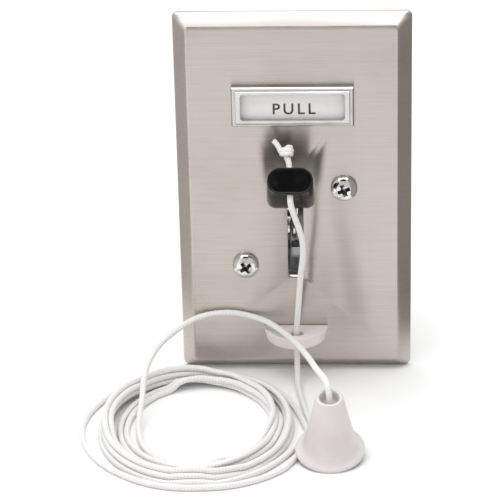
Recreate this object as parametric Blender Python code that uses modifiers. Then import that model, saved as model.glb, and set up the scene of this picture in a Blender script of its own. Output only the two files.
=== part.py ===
"""Pull cord switch on a single-gang wall plate.

The plate stands in the XZ plane with its front towards -Y and its rear rim on the wall plane,
y = 0. The origin is the middle of that rim. The cord's coil and the pull bell lie on the surface
that the plate's lower edge stands on. Lengths are in metres, written as millimetres times MM.
"""
import math

import bmesh
import bpy
from mathutils import Matrix, Vector

MM = 0.001
FIT = 0.3 * MM                      # gap between pieces that seat on each other

# Wall plate: a pressed single-gang cover with sloped borders, open at the back.
PLATE_WIDTH = 69.85 * MM
PLATE_HEIGHT = 114.3 * MM
PLATE_DEPTH = 4.8 * MM
PLATE_SHEET = 0.9 * MM
PLATE_BORDER = 3.7 * MM             # width of the sloped border
PLATE_LIP = 0.8 * MM                # straight rim behind the slope
PLATE_CORNER = 1.8 * MM
SLOT_WIDTH = 4.76 * MM
SLOT_TOP = 4.8 * MM
SLOT_BOTTOM = -26.0 * MM
SLOT_CORNER = 1.2 * MM
SLOT_X = 0.3 * MM

# Mounting strap behind the plate, screwed to the wall box.
STRAP_THICK = 1.5 * MM
STRAP_EAR_HALF = 10.0 * MM
STRAP_EAR_END = 52.0 * MM
STRAP_WING_HALF = 19.5 * MM
STRAP_WING_TOP = 12.0 * MM
STRAP_WING_BOTTOM = -30.0 * MM
STRAP_WINDOW_HALF = 6.5 * MM
STRAP_WINDOW_TOP = 7.0 * MM
STRAP_WINDOW_BOTTOM = -29.0 * MM
BOX_SCREW_SPACING = 83.3 * MM       # standard single-gang box screws

# Screws: head radius, head height, shank radius, length under the head.
PLATE_SCREW = (4.0 * MM, 2.4 * MM, 2.0 * MM, 9.0 * MM)
BOX_SCREW = (3.4 * MM, 1.7 * MM, 1.7 * MM, 19.0 * MM)
FRAME_SCREW = (2.8 * MM, 1.5 * MM, 1.4 * MM, 5.0 * MM)
GUIDE_SCREW = (2.0 * MM, 1.1 * MM, 1.0 * MM, 7.6 * MM)
STACK_SCREW = (1.9 * MM, 1.5 * MM, 1.0 * MM, 14.6 * MM)
DETENT_SCREW = (1.9 * MM, 1.3 * MM, 1.0 * MM, 3.4 * MM)
PLATE_SCREWS = {"plate_screw_upper": (14.85 * MM, 3.4 * MM), "plate_screw_lower": (-14.85 * MM, -21.6 * MM)}
FRAME_SCREWS = {"frame_screw_upper": 13.0 * MM, "frame_screw_lower": -33.0 * MM}

# Label holder above the slot.
LABEL_Z = 29.8 * MM
BEZEL_WIDTH = 36.0 * MM
BEZEL_HEIGHT = 12.2 * MM
BEZEL_DEPTH = 2.4 * MM
BEZEL_RIM = 1.4 * MM                # side wall round the recess
BEZEL_LIP = 1.1 * MM                # depth of the front lip
BEZEL_LIP_WIDTH = 1.3 * MM          # how far the lip reaches over the window
CARD_THICK = 0.35 * MM
WINDOW_FLANGE = 0.4 * MM
WINDOW_PROUD = 0.2 * MM             # window face behind the bezel's front
TAB_THICK = 1.0 * MM
TAB_HEIGHT = 4.0 * MM
CLIP_SIZE = (4.4 * MM, 1.0 * MM, 7.0 * MM)

# Lever and what turns with it. The lever points up at rest and swings down when the cord is pulled.
PIVOT_Y = 13.8 * MM
PIVOT_Z = -16.7 * MM
LEVER_X = -0.6 * MM
REST_ANGLE = math.radians(40.0)
TRAVEL = math.radians(56.0)
LEVER_THICK = 1.5 * MM
LEVER_REACH = 39.0 * MM
LEVER_HALF = 2.5 * MM
TAIL_REACH = 10.0 * MM
TAIL_HALF = 2.0 * MM
HUB_RADIUS = 5.5 * MM
PIN_RADIUS = 1.5 * MM
CAM_RADIUS = 5.0 * MM
CAM_RISE = 1.5 * MM
NOTCH_DEPTH = 0.9 * MM
NOTCH_SPREAD = math.radians(9.0)
STOP_RADIUS = 1.2 * MM
STOP_REACH = 8.0 * MM               # stops touch the tail this far behind the pivot
STOP_OVERHANG = 0.3 * MM            # how far a stop reaches past the lever's far face

# Knob on the lever's end.
KNOB_LENGTH = 12.5 * MM
KNOB_BASE = (14.4 * MM, 9.6 * MM)
KNOB_END = (13.1 * MM, 7.8 * MM)
KNOB_END_REACH = 45.4 * MM
KNOB_CORNER = 2.6 * MM
KNOB_EDGE = 0.7 * MM
HOLE_BACK = 2.3 * MM                # cord hole behind the knob's end face

# Switch frame, a steel channel behind the strap, with a shelf for the contacts.
FRAME_SHEET = 1.2 * MM
FRAME_INSIDE = 13.0 * MM            # between the cheeks
FLANGE_THICK = 1.5 * MM
FLANGE_HALF = 10.0 * MM
FLANGE_TOP = 16.0 * MM
FLANGE_BOTTOM = -36.0 * MM
FLANGE_WINDOW_HALF = 5.0 * MM
CHEEK_TOP = -3.0 * MM
CHEEK_BOTTOM = -30.0 * MM
FRAME_REAR = 48.0 * MM
SHELF_FRONT = 10.8 * MM
SHELF_TOP = -8.0 * MM
LOWER_SHELF_FRONT = 1.0 * MM
LOWER_SHELF_TOP = -27.3 * MM

# Contact stack on the shelf and the pusher that the cam lifts.
STACK_X = 3.3 * MM
STACK_WIDTH = 5.6 * MM
STACK_FRONT = 33.0 * MM
STACK_SCREW_Y = (37.0 * MM, 44.0 * MM)
LEAF_THICK = 0.4 * MM
LEAF_FRONT = 6.8 * MM
LEAF_REAR = 54.0 * MM
CONTACT_Y = 9.0 * MM
CONTACT_HEAD = 0.5 * MM
CONTACT_RADIUS = 1.6 * MM
LOWER_INSULATOR = 3.1 * MM
MIDDLE_INSULATOR = 3.2 * MM
UPPER_INSULATOR = 1.6 * MM
CLAMP_THICK = 1.2 * MM
PUSHER_RADIUS = 1.5 * MM
PUSHER_COLLAR = 2.3 * MM

# Detent spring under the hub.
SPRING_THICK = 0.4 * MM
SPRING_WIDTH = 4.0 * MM
DETENT_SCREW_Y = 32.0 * MM

# Cord guide, a moulded shelf low on the plate.
GUIDE_HALF = 9.75 * MM
GUIDE_DEPTH = 10.0 * MM
GUIDE_TOP = -41.6 * MM
GUIDE_THICK = 4.2 * MM
GUIDE_HOLE = 1.85 * MM
GUIDE_HOLE_X = 0.3 * MM
GUIDE_HOLE_Y = -10.5 * MM
GUIDE_SCREW_HALF = 6.5 * MM

# Cord, coil and bell.
CORD_RADIUS = 0.9 * MM
KNOT_RADIUS = 2.0 * MM
FLOOR_Z = -PLATE_HEIGHT / 2
COIL_CENTRE = (-28.0 * MM, -43.5 * MM)
COIL_OUTER = (31.0 * MM, 36.5 * MM)
COIL_INNER = (20.0 * MM, 25.0 * MM)
COIL_HEIGHT = 6.0 * MM
BELL_X = 10.9 * MM
BELL_FRONT_Y = -69.4 * MM           # where the tilted rim touches the surface
BELL_TILT = math.radians(13.7)
BELL_HEIGHT = 20.0 * MM
BELL_RIM = 10.0 * MM
BELL_TOP = 3.9 * MM
BELL_WALL = 1.2 * MM

FACE_Y = -PLATE_DEPTH
BEHIND_FACE_Y = FACE_Y + PLATE_SHEET
CORD_HOLE = CORD_RADIUS + FIT

PARTS = "pull_cord_switch"
CUTTERS = "cutters"


def start_empty():
    """Remove what the scene holds and make the two collections."""
    for obj in list(bpy.data.objects):
        bpy.data.objects.remove(obj, do_unlink=True)
    for name in (PARTS, CUTTERS):
        collection = bpy.data.collections.new(name)
        bpy.context.scene.collection.children.link(collection)


def put_in(obj, collection_name):
    """Move an object into one of the two collections."""
    for collection in list(obj.users_collection):
        collection.objects.unlink(obj)
    bpy.data.collections[collection_name].objects.link(obj)


def material(name, colour, roughness, metallic):
    """One Principled material for one sub-part."""
    new = bpy.data.materials.new(name)
    new.use_nodes = True
    shader = new.node_tree.nodes["Principled BSDF"]
    shader.inputs["Base Color"].default_value = (*colour, 1.0)
    shader.inputs["Roughness"].default_value = roughness
    shader.inputs["Metallic"].default_value = metallic
    return new


FINISHES = {
    "stainless": ((0.62, 0.58, 0.55), 0.34, 1.0),
    "nickel": ((0.75, 0.74, 0.70), 0.22, 1.0),
    "chrome": ((0.86, 0.86, 0.85), 0.10, 1.0),
    "zinc_steel": ((0.60, 0.61, 0.62), 0.38, 1.0),
    "brass": ((0.78, 0.62, 0.32), 0.30, 1.0),
    "black_plastic": ((0.012, 0.012, 0.013), 0.16, 0.0),
    "white_plastic": ((0.86, 0.84, 0.83), 0.38, 0.0),
    "nylon": ((0.80, 0.79, 0.74), 0.45, 0.0),
    "insulator": ((0.23, 0.11, 0.05), 0.55, 0.0),
    "card": ((0.88, 0.88, 0.89), 0.70, 0.0),
    "clear": ((0.90, 0.91, 0.92), 0.08, 0.0),
    "cord": ((0.90, 0.89, 0.87), 0.75, 0.0),
}


def finish(obj, name, finish_name, collection=PARTS):
    """Name the object, give it its own material and put it in its collection."""
    obj.name = name
    obj.data.name = name
    obj.data.materials.clear()
    obj.data.materials.append(material(name, *FINISHES[finish_name]))
    put_in(obj, collection)
    return obj


def new_mesh_object(name, bm, location=(0, 0, 0)):
    """Turn a bmesh into an object."""
    mesh = bpy.data.meshes.new(name)
    bm.to_mesh(mesh)
    bm.free()
    obj = bpy.data.objects.new(name, mesh)
    bpy.context.scene.collection.objects.link(obj)
    obj.location = location
    return obj


def smooth(obj, angle=35.0):
    """Shade a round piece smooth with its sharp edges kept."""
    obj.data.shade_smooth()
    obj.data.set_sharp_from_angle(angle=math.radians(angle))


def block(name, low, high):
    """A box from its lowest to its highest corner."""
    low = Vector(low)
    high = Vector(high)
    bm = bmesh.new()
    bmesh.ops.create_cube(bm, size=1.0, matrix=Matrix.Diagonal((*(high - low), 1.0)))
    return new_mesh_object(name, bm, (low + high) / 2)


def rod(name, radius, start, end, sides=24):
    """A cylinder between two points."""
    start = Vector(start)
    end = Vector(end)
    bm = bmesh.new()
    bmesh.ops.create_cone(bm, cap_ends=True, segments=sides, radius1=radius, radius2=radius,
                          depth=(end - start).length)
    obj = new_mesh_object(name, bm, (start + end) / 2)
    obj.rotation_euler = (end - start).to_track_quat("Z", "Y").to_euler()
    smooth(obj)
    return obj


def turned(name, profile, closed=False, steps=24):
    """A profile of (radius, height) points, run down its outer side, turned about Z."""
    mesh = bpy.data.meshes.new(name)
    count = len(profile)
    edges = [(i, i + 1) for i in range(count - 1)]
    if closed:
        edges.append((count - 1, 0))
    mesh.from_pydata([(radius, 0.0, height) for radius, height in profile], edges, [])
    obj = bpy.data.objects.new(name, mesh)
    bpy.context.scene.collection.objects.link(obj)
    screw = obj.modifiers.new("turn", "SCREW")
    screw.steps = steps
    screw.render_steps = steps
    screw.use_merge_vertices = True
    screw.merge_threshold = 0.00001
    screw.use_smooth_shade = True
    return obj


def outline(name, loops, thickness):
    """A flat outline, with any holes, extruded by half its thickness each way from z = 0."""
    curve = bpy.data.curves.new(name, "CURVE")
    curve.dimensions = "2D"
    curve.fill_mode = "BOTH"
    curve.extrude = thickness / 2
    for points in loops:
        spline = curve.splines.new("POLY")
        spline.points.add(len(points) - 1)
        for point, (x, y) in zip(spline.points, points):
            point.co = (x, y, 0.0, 1.0)
        spline.use_cyclic_u = True
    obj = bpy.data.objects.new(name, curve)
    bpy.context.scene.collection.objects.link(obj)
    return obj


def as_mesh(curve_object):
    """Replace a curve object with a welded mesh in the same place."""
    bpy.context.view_layer.update()
    graph = bpy.context.evaluated_depsgraph_get()
    mesh = bpy.data.meshes.new_from_object(curve_object.evaluated_get(graph))
    bm = bmesh.new()
    bm.from_mesh(mesh)
    bmesh.ops.remove_doubles(bm, verts=bm.verts, dist=0.000001)
    bm.to_mesh(mesh)
    bm.free()
    obj = bpy.data.objects.new(curve_object.name, mesh)
    bpy.context.scene.collection.objects.link(obj)
    obj.matrix_world = curve_object.matrix_world
    bpy.data.objects.remove(curve_object, do_unlink=True)
    return obj


def rounded(obj, width, segments=2, angle=30.0):
    """Bevel an object's sharp edges."""
    bevel = obj.modifiers.new("edges", "BEVEL")
    bevel.width = width
    bevel.segments = segments
    bevel.limit_method = "ANGLE"
    bevel.angle_limit = math.radians(angle)
    return obj


def combine(obj, other, operation):
    """Cut or join with a helper object, which is left out of the model."""
    helper = obj.modifiers.new(operation.lower(), "BOOLEAN")
    helper.operation = operation
    helper.solver = "EXACT"
    helper.object = other
    other.hide_render = True
    other.display_type = "WIRE"
    put_in(other, CUTTERS)
    return obj


def cut(obj, cutter):
    """Cut one shape out of a piece."""
    return combine(obj, cutter, "DIFFERENCE")


def join(obj, other):
    """Join one shape to a piece."""
    return combine(obj, other, "UNION")


def circle(radius, centre=(0.0, 0.0), sides=24):
    """Points round a circle."""
    turns = (math.tau * i / sides for i in range(sides))
    return [(centre[0] + radius * math.cos(a), centre[1] + radius * math.sin(a)) for a in turns]


def arc(radius, start, end, steps):
    """Points along an arc about the origin, its two ends included."""
    angles = (start + (end - start) * i / steps for i in range(steps + 1))
    return [(radius * math.cos(a), radius * math.sin(a)) for a in angles]


def facing_front(obj, x, y, z):
    """Turn a piece made along +Z so that it points out of the plate, towards -Y."""
    obj.rotation_euler = (math.pi / 2, 0.0, 0.0)
    obj.location = (x, y, z)
    return obj


def screw(name, size, finish_name, sides=24):
    """A screw with its head's underside at z = 0 and its shank along -Z."""
    head_radius, head_height, shank_radius, length = size
    profile = [(0.0, head_height), (head_radius * 0.55, head_height * 0.92),
               (head_radius * 0.9, head_height * 0.55), (head_radius, head_height * 0.2),
               (head_radius * 0.96, 0.0), (shank_radius, 0.0),
               (shank_radius, shank_radius - length), (shank_radius * 0.4, -length), (0.0, -length)]
    return finish(turned(name, profile, steps=sides), name, finish_name)


def smooth_route(points, spacing):
    """Points about one spacing apart on a smooth curve through the route's points."""
    knots = [Vector(p) * MM for p in points]
    ends = [2 * knots[0] - knots[1]] + knots + [2 * knots[-1] - knots[-2]]
    route = [knots[0]]
    for before, a, b, after in zip(ends, ends[1:], ends[2:], ends[3:]):
        steps = max(1, round((b - a).length / spacing))
        for i in range(1, steps + 1):
            t = i / steps
            bend = (2 * a + (b - before) * t + (2 * before - 5 * a + 4 * b - after) * t * t
                    + (3 * a - before - 3 * b + after) * t * t * t)
            route.append(bend / 2)
    return route


def cord_tube(name, points):
    """A stretch of cord along world points given in metres."""
    curve = bpy.data.curves.new(name, "CURVE")
    curve.dimensions = "3D"
    curve.bevel_depth = CORD_RADIUS
    curve.bevel_resolution = 2
    curve.use_fill_caps = True
    spline = curve.splines.new("POLY")
    spline.points.add(len(points) - 1)
    for point, place in zip(spline.points, points):
        point.co = (*place, 1.0)
    obj = bpy.data.objects.new(name, curve)
    bpy.context.scene.collection.objects.link(obj)
    return finish(obj, name, "cord")


def make_wall_plate():
    """The pressed plate: a tapered open box with a rim, thickened inwards, then pierced."""
    bm = bmesh.new()
    slope = PLATE_DEPTH - PLATE_LIP
    bmesh.ops.create_cube(bm, size=1.0, matrix=Matrix.Diagonal((PLATE_WIDTH, slope, PLATE_HEIGHT, 1.0)))
    for vert in bm.verts:
        vert.co.y -= PLATE_LIP + slope / 2
        if vert.co.y < -PLATE_LIP * 1.5:
            vert.co.x -= math.copysign(PLATE_BORDER, vert.co.x)
            vert.co.z -= math.copysign(PLATE_BORDER, vert.co.z)
    rear = [f for f in bm.faces if all(abs(v.co.y + PLATE_LIP) < MM * 0.01 for v in f.verts)]
    bmesh.ops.delete(bm, geom=rear, context="FACES_ONLY")
    rim = [e for e in bm.edges if e.is_boundary]
    lip = bmesh.ops.extrude_edge_only(bm, edges=rim)
    moved = [v for v in lip["geom"] if isinstance(v, bmesh.types.BMVert)]
    bmesh.ops.translate(bm, verts=moved, vec=(0.0, PLATE_LIP, 0.0))
    corners = [e for e in bm.edges if abs(e.verts[0].co.y - e.verts[1].co.y) > PLATE_LIP / 2]
    bmesh.ops.bevel(bm, geom=corners, offset=PLATE_CORNER, offset_type="OFFSET", segments=3,
                    profile=0.5, affect="EDGES")
    bmesh.ops.recalc_face_normals(bm, faces=bm.faces)
    plate = new_mesh_object("wall_plate", bm)
    rounded(plate, 0.7 * MM, segments=2, angle=20.0)
    sheet = plate.modifiers.new("sheet", "SOLIDIFY")
    sheet.thickness = PLATE_SHEET
    sheet.offset = -1.0
    sheet.use_even_offset = True
    cut(plate, slot_cutter())
    for name, (x, z) in PLATE_SCREWS.items():
        cut(plate, rod(f"hole_{name}", PLATE_SCREW[2] + FIT, (x, FACE_Y - MM, z), (x, 0.0, z)))
    for side in (-1, 1):
        x = side * GUIDE_SCREW_HALF
        z = GUIDE_TOP - GUIDE_THICK / 2
        cut(plate, rod("hole_guide_screw", GUIDE_SCREW[2] + FIT, (x, FACE_Y - MM, z), (x, 0.0, z)))
        cut(plate, tab_block("slit_bezel_tab", side, FIT, -8 * MM, 0.0))
    smooth(plate, 25.0)
    return finish(plate, "wall_plate", "stainless")


def slot_cutter():
    """The lever slot, a rounded oblong through the plate's face."""
    low = (SLOT_X - SLOT_WIDTH / 2, FACE_Y - MM, SLOT_BOTTOM)
    high = (SLOT_X + SLOT_WIDTH / 2, 0.0, SLOT_TOP)
    slot = block("lever_slot", low, high)
    bevel = slot.modifiers.new("corners", "BEVEL")
    bevel.width = SLOT_CORNER
    bevel.segments = 4
    return slot


def tab_block(name, side, gap, front, back):
    """A bezel tab, or the slit for it when the gap isn't zero."""
    x = side * (BEZEL_WIDTH / 2 - BEZEL_RIM / 2)
    half_x = TAB_THICK / 2 + gap
    half_z = TAB_HEIGHT / 2 + gap
    return block(name, (x - half_x, front, LABEL_Z - half_z), (x + half_x, back, LABEL_Z + half_z))


def label_box(name, width, height, front, back):
    """A box centred on the label, between two depths."""
    return block(name, (-width / 2, front, LABEL_Z - height / 2), (width / 2, back, LABEL_Z + height / 2))


def make_label():
    """Bezel with two tabs, card, clear window and the clips that hold the tabs."""
    back = FACE_Y - FIT
    front = back - BEZEL_DEPTH
    bezel = rounded(label_box("label_bezel", BEZEL_WIDTH, BEZEL_HEIGHT, front, back), 0.35 * MM)
    recess = (BEZEL_WIDTH - 2 * BEZEL_RIM, BEZEL_HEIGHT - 2 * BEZEL_RIM)
    lip_back = front + BEZEL_LIP
    opening = (recess[0] - 2 * BEZEL_LIP_WIDTH, recess[1] - BEZEL_LIP_WIDTH)
    for side in (-1, 1):
        tab_end = BEHIND_FACE_Y + FIT + CLIP_SIZE[1] + 0.4 * MM
        join(bezel, tab_block("tab", side, 0.0, back - MM, tab_end))
    cut(bezel, label_box("bezel_recess", *recess, lip_back, back + MM))
    cut(bezel, label_box("bezel_opening", *opening, front - MM, back))
    finish(bezel, "label_bezel", "chrome")

    card_size = (recess[0] - 2 * FIT, recess[1] - 2 * FIT)
    card = label_box("label_card", *card_size, back - CARD_THICK, back)
    finish(card, "label_card", "card")
    flange_back = back - CARD_THICK - FIT
    window = label_box("label_window", *card_size, flange_back - WINDOW_FLANGE, flange_back)
    pane_size = (opening[0] - 2 * FIT, opening[1] - 2 * FIT)
    pane = label_box("pane", *pane_size, front + WINDOW_PROUD, flange_back - WINDOW_FLANGE / 2)
    join(window, pane)
    finish(window, "label_window", "clear")
    for side, word in ((-1, "left"), (1, "right")):
        x = side * (BEZEL_WIDTH / 2 - BEZEL_RIM / 2)
        near = BEHIND_FACE_Y + FIT
        clip = block("clip", (x - CLIP_SIZE[0] / 2, near, LABEL_Z - CLIP_SIZE[2] / 2),
                     (x + CLIP_SIZE[0] / 2, near + CLIP_SIZE[1], LABEL_Z + CLIP_SIZE[2] / 2))
        cut(clip, tab_block("clip_hole", side, FIT, -8 * MM, 8 * MM))
        finish(clip, f"label_clip_{word}", "zinc_steel")


def make_strap():
    """The strap between the plate and the wall box, with its holes."""
    ear = STRAP_EAR_HALF
    wing = STRAP_WING_HALF
    end = STRAP_EAR_END
    shape = [(-ear, -end), (ear, -end), (ear, STRAP_WING_BOTTOM), (wing, STRAP_WING_BOTTOM),
             (wing, STRAP_WING_TOP), (ear, STRAP_WING_TOP), (ear, end), (-ear, end),
             (-ear, STRAP_WING_TOP), (-wing, STRAP_WING_TOP), (-wing, STRAP_WING_BOTTOM),
             (-ear, STRAP_WING_BOTTOM)]
    half = STRAP_WINDOW_HALF
    window = [(-half, STRAP_WINDOW_BOTTOM), (half, STRAP_WINDOW_BOTTOM),
              (half, STRAP_WINDOW_TOP), (-half, STRAP_WINDOW_TOP)]
    loops = [shape, window]
    for side in (-1, 1):
        loops.append(circle(BOX_SCREW[2] + FIT, (0.0, side * BOX_SCREW_SPACING / 2)))
    for z in FRAME_SCREWS.values():
        loops.append(circle(FRAME_SCREW[2] + FIT, (0.0, z)))
    for place in PLATE_SCREWS.values():
        loops.append(circle(PLATE_SCREW[2] + FIT, place))
    strap = outline("mounting_strap", loops, STRAP_THICK)
    facing_front(strap, 0.0, -STRAP_THICK / 2, 0.0)
    finish(strap, "mounting_strap", "zinc_steel")


def make_screws():
    """Plate, box, frame and guide screws."""
    for name, (x, z) in PLATE_SCREWS.items():
        facing_front(screw(name, PLATE_SCREW, "nickel", sides=32), x, FACE_Y - FIT, z)
    for side, word in ((1, "upper"), (-1, "lower")):
        fixing = screw(f"box_screw_{word}", BOX_SCREW, "zinc_steel")
        facing_front(fixing, 0.0, -STRAP_THICK - FIT, side * BOX_SCREW_SPACING / 2)
    for name, z in FRAME_SCREWS.items():
        facing_front(screw(name, FRAME_SCREW, "zinc_steel"), 0.0, -STRAP_THICK - FIT, z)
    for side, word in ((-1, "left"), (1, "right")):
        fixing = screw(f"guide_screw_{word}", GUIDE_SCREW, "zinc_steel", sides=16)
        fixing.rotation_euler = (-math.pi / 2, 0.0, 0.0)
        fixing.location = (side * GUIDE_SCREW_HALF, BEHIND_FACE_Y + FIT, GUIDE_TOP - GUIDE_THICK / 2)


def make_frame():
    """The switch frame: flange, two cheeks and two shelves, pierced for pins and screws."""
    inside = FRAME_INSIDE / 2
    outside = inside + FRAME_SHEET
    flange_back = FIT + FLANGE_THICK
    frame = block("switch_frame", (-FLANGE_HALF, FIT, FLANGE_BOTTOM), (FLANGE_HALF, flange_back, FLANGE_TOP))
    for side in (-1, 1):
        x = sorted((side * inside, side * outside))
        join(frame, block("cheek", (x[0], flange_back / 2, CHEEK_BOTTOM), (x[1], FRAME_REAR, CHEEK_TOP)))
    reach = (inside + outside) / 2
    sheet = FRAME_SHEET
    join(frame, block("shelf", (-reach, SHELF_FRONT, SHELF_TOP - sheet), (reach, FRAME_REAR - MM, SHELF_TOP)))
    join(frame, block("lower_shelf", (-reach, LOWER_SHELF_FRONT, LOWER_SHELF_TOP - sheet),
                      (reach, FRAME_REAR - MM, LOWER_SHELF_TOP)))
    cut(frame, block("lever_window", (-FLANGE_WINDOW_HALF, -MM, STRAP_WINDOW_BOTTOM),
                     (FLANGE_WINDOW_HALF, flange_back + MM, STRAP_WINDOW_TOP)))
    far = outside + MM
    cut(frame, rod("pivot_holes", PIN_RADIUS + FIT, (-far, PIVOT_Y, PIVOT_Z), (far, PIVOT_Y, PIVOT_Z)))
    for y, z in stop_places():
        cut(frame, rod("stop_hole", STOP_RADIUS + FIT, (inside - MM, y, z), (far, y, z)))
    cut(frame, rod("pusher_hole", PUSHER_RADIUS + FIT, (STACK_X, PIVOT_Y, SHELF_TOP - 3 * MM),
                   (STACK_X, PIVOT_Y, SHELF_TOP + MM)))
    for y in STACK_SCREW_Y:
        cut(frame, rod("stack_screw_hole", STACK_SCREW[2] + FIT, (STACK_X, y, SHELF_TOP - 3 * MM),
                       (STACK_X, y, SHELF_TOP + MM)))
    cut(frame, rod("detent_screw_hole", DETENT_SCREW[2] + FIT,
                   (detent_x(), DETENT_SCREW_Y, LOWER_SHELF_TOP - 3 * MM),
                   (detent_x(), DETENT_SCREW_Y, LOWER_SHELF_TOP + MM)))
    for z in FRAME_SCREWS.values():
        cut(frame, rod("frame_screw_hole", FRAME_SCREW[2] + FIT, (0.0, -MM, z), (0.0, 4 * MM, z)))
    finish(frame, "switch_frame", "zinc_steel")


def stop_places():
    """The two stops, as (y, z): the tail rests on the lower one and is pulled against the upper."""
    offset = TAIL_HALF + STOP_RADIUS + FIT
    places = []
    for angle, side in ((REST_ANGLE, -1), (REST_ANGLE - TRAVEL, 1)):
        along = (math.cos(angle), -math.sin(angle))
        across = (side * math.sin(angle), side * math.cos(angle))
        places.append((PIVOT_Y + STOP_REACH * along[0] + offset * across[0],
                       PIVOT_Z + STOP_REACH * along[1] + offset * across[1]))
    return places


def detent_x():
    """Middle of the detent wheel and its spring."""
    return (-FRAME_INSIDE / 2 + LEVER_X - LEVER_THICK / 2) / 2


def make_pins():
    """The pivot pin with its clip, and the two stop pins."""
    outside = FRAME_INSIDE / 2 + FRAME_SHEET
    head = 1.2 * MM
    reach = outside + 2.0 * MM
    seat = -outside - FIT
    profile = [(0.0, reach), (PIN_RADIUS, reach), (PIN_RADIUS, seat), (PIN_RADIUS * 1.6, seat),
               (PIN_RADIUS * 1.6, seat - head), (0.0, seat - head)]
    pin = turned("pivot_pin", profile)
    pin.rotation_euler = (0.0, math.pi / 2, 0.0)
    pin.location = (0.0, PIVOT_Y, PIVOT_Z)
    finish(pin, "pivot_pin", "nickel")

    opening = math.radians(28.0)
    inner = PIN_RADIUS + FIT
    shape = arc(inner + 1.4 * MM, opening, math.tau - opening, 20)
    shape += reversed(arc(inner, opening, math.tau - opening, 20))
    clip = outline("pivot_clip", [shape], 0.7 * MM)
    clip.rotation_euler = (0.0, math.pi / 2, 0.0)
    clip.location = (outside + FIT + 0.35 * MM, PIVOT_Y, PIVOT_Z)
    finish(clip, "pivot_clip", "zinc_steel")

    start = LEVER_X - LEVER_THICK / 2 - STOP_OVERHANG
    for word, (y, z) in zip(("rest", "pulled"), stop_places()):
        pin = rod(f"stop_pin_{word}", STOP_RADIUS, (start, y, z), (outside + 0.8 * MM, y, z), sides=20)
        finish(pin, f"stop_pin_{word}", "zinc_steel")


def lever_axis():
    """An empty on the pivot: +X along the lever, +Y square to it and upwards, +Z towards -X."""
    empty = bpy.data.objects.new("lever_axis", None)
    bpy.data.collections[PARTS].objects.link(empty)
    c = math.cos(REST_ANGLE)
    s = math.sin(REST_ANGLE)
    turn = Matrix(((0.0, 0.0, -1.0), (-c, s, 0.0), (s, c, 0.0))).to_4x4()
    empty.matrix_world = Matrix.Translation((LEVER_X, PIVOT_Y, PIVOT_Z)) @ turn
    return empty


def on_lever(obj, axis, place=(0.0, 0.0, 0.0)):
    """Hang a piece on the lever's axis, at a place in the lever's own frame."""
    obj.parent = axis
    obj.location = place
    return obj


def across_from(x_low, x_high):
    """Middle of a piece across the lever, in the lever's frame, from its two world x values."""
    return LEVER_X - (x_low + x_high) / 2


def make_lever(axis):
    """The flat lever with its hub and tail, the cam and the detent wheel."""
    bar = math.asin(LEVER_HALF / HUB_RADIUS)
    tail = math.asin(TAIL_HALF / HUB_RADIUS)
    corner = 0.8 * MM
    shape = [(LEVER_REACH - corner, -LEVER_HALF), (LEVER_REACH, corner - LEVER_HALF),
             (LEVER_REACH, LEVER_HALF - corner), (LEVER_REACH - corner, LEVER_HALF)]
    shape += arc(HUB_RADIUS, bar, math.pi - tail, 10)
    shape += [(-TAIL_REACH + corner, TAIL_HALF), (-TAIL_REACH, TAIL_HALF - corner),
              (-TAIL_REACH, corner - TAIL_HALF), (-TAIL_REACH + corner, -TAIL_HALF)]
    shape += arc(HUB_RADIUS, math.pi + tail, math.tau - bar, 10)
    bore = circle(PIN_RADIUS + FIT)
    lever = outline("lever", [shape, bore], LEVER_THICK)
    on_lever(finish(lever, "lever", "chrome"), axis)

    inner = FRAME_INSIDE / 2 - FIT
    near = LEVER_X + LEVER_THICK / 2 + FIT
    cam = outline("contact_cam", [cam_points(cam_radius), bore], inner - near)
    on_lever(finish(cam, "contact_cam", "nylon"), axis, (0.0, 0.0, across_from(near, inner)))
    near = LEVER_X - LEVER_THICK / 2 - FIT
    wheel = outline("detent_wheel", [cam_points(detent_radius), bore], near + inner)
    on_lever(finish(wheel, "detent_wheel", "brass"), axis, (0.0, 0.0, across_from(-inner, near)))


def cam_points(radius_at):
    """Outline of a cam, from its radius at each angle turned from straight up towards the back."""
    points = []
    for i in range(72):
        angle = math.tau * i / 72
        radius = radius_at(angle)
        direction = math.pi / 2 - REST_ANGLE + angle
        points.append((radius * math.cos(direction), radius * math.sin(direction)))
    return points


def cam_radius(angle):
    """An even rise over the lever's travel, a short dwell, then an eased fall."""
    dwell = TRAVEL + math.radians(10.0)
    fall = math.radians(60.0)
    if angle > math.radians(340.0) or angle > dwell + fall:
        return CAM_RADIUS
    if angle > dwell:
        return CAM_RADIUS + CAM_RISE * (1 + math.cos(math.pi * (angle - dwell) / fall)) / 2
    return CAM_RADIUS + CAM_RISE * min(1.0, angle / TRAVEL)


def detent_radius(angle):
    """A round wheel with one notch for each end of the travel."""
    depth = 0.0
    for notch in (math.pi, math.pi + TRAVEL):
        depth = max(depth, math.exp(-((angle - notch) / NOTCH_SPREAD) ** 2))
    return CAM_RADIUS - NOTCH_DEPTH * depth


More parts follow.
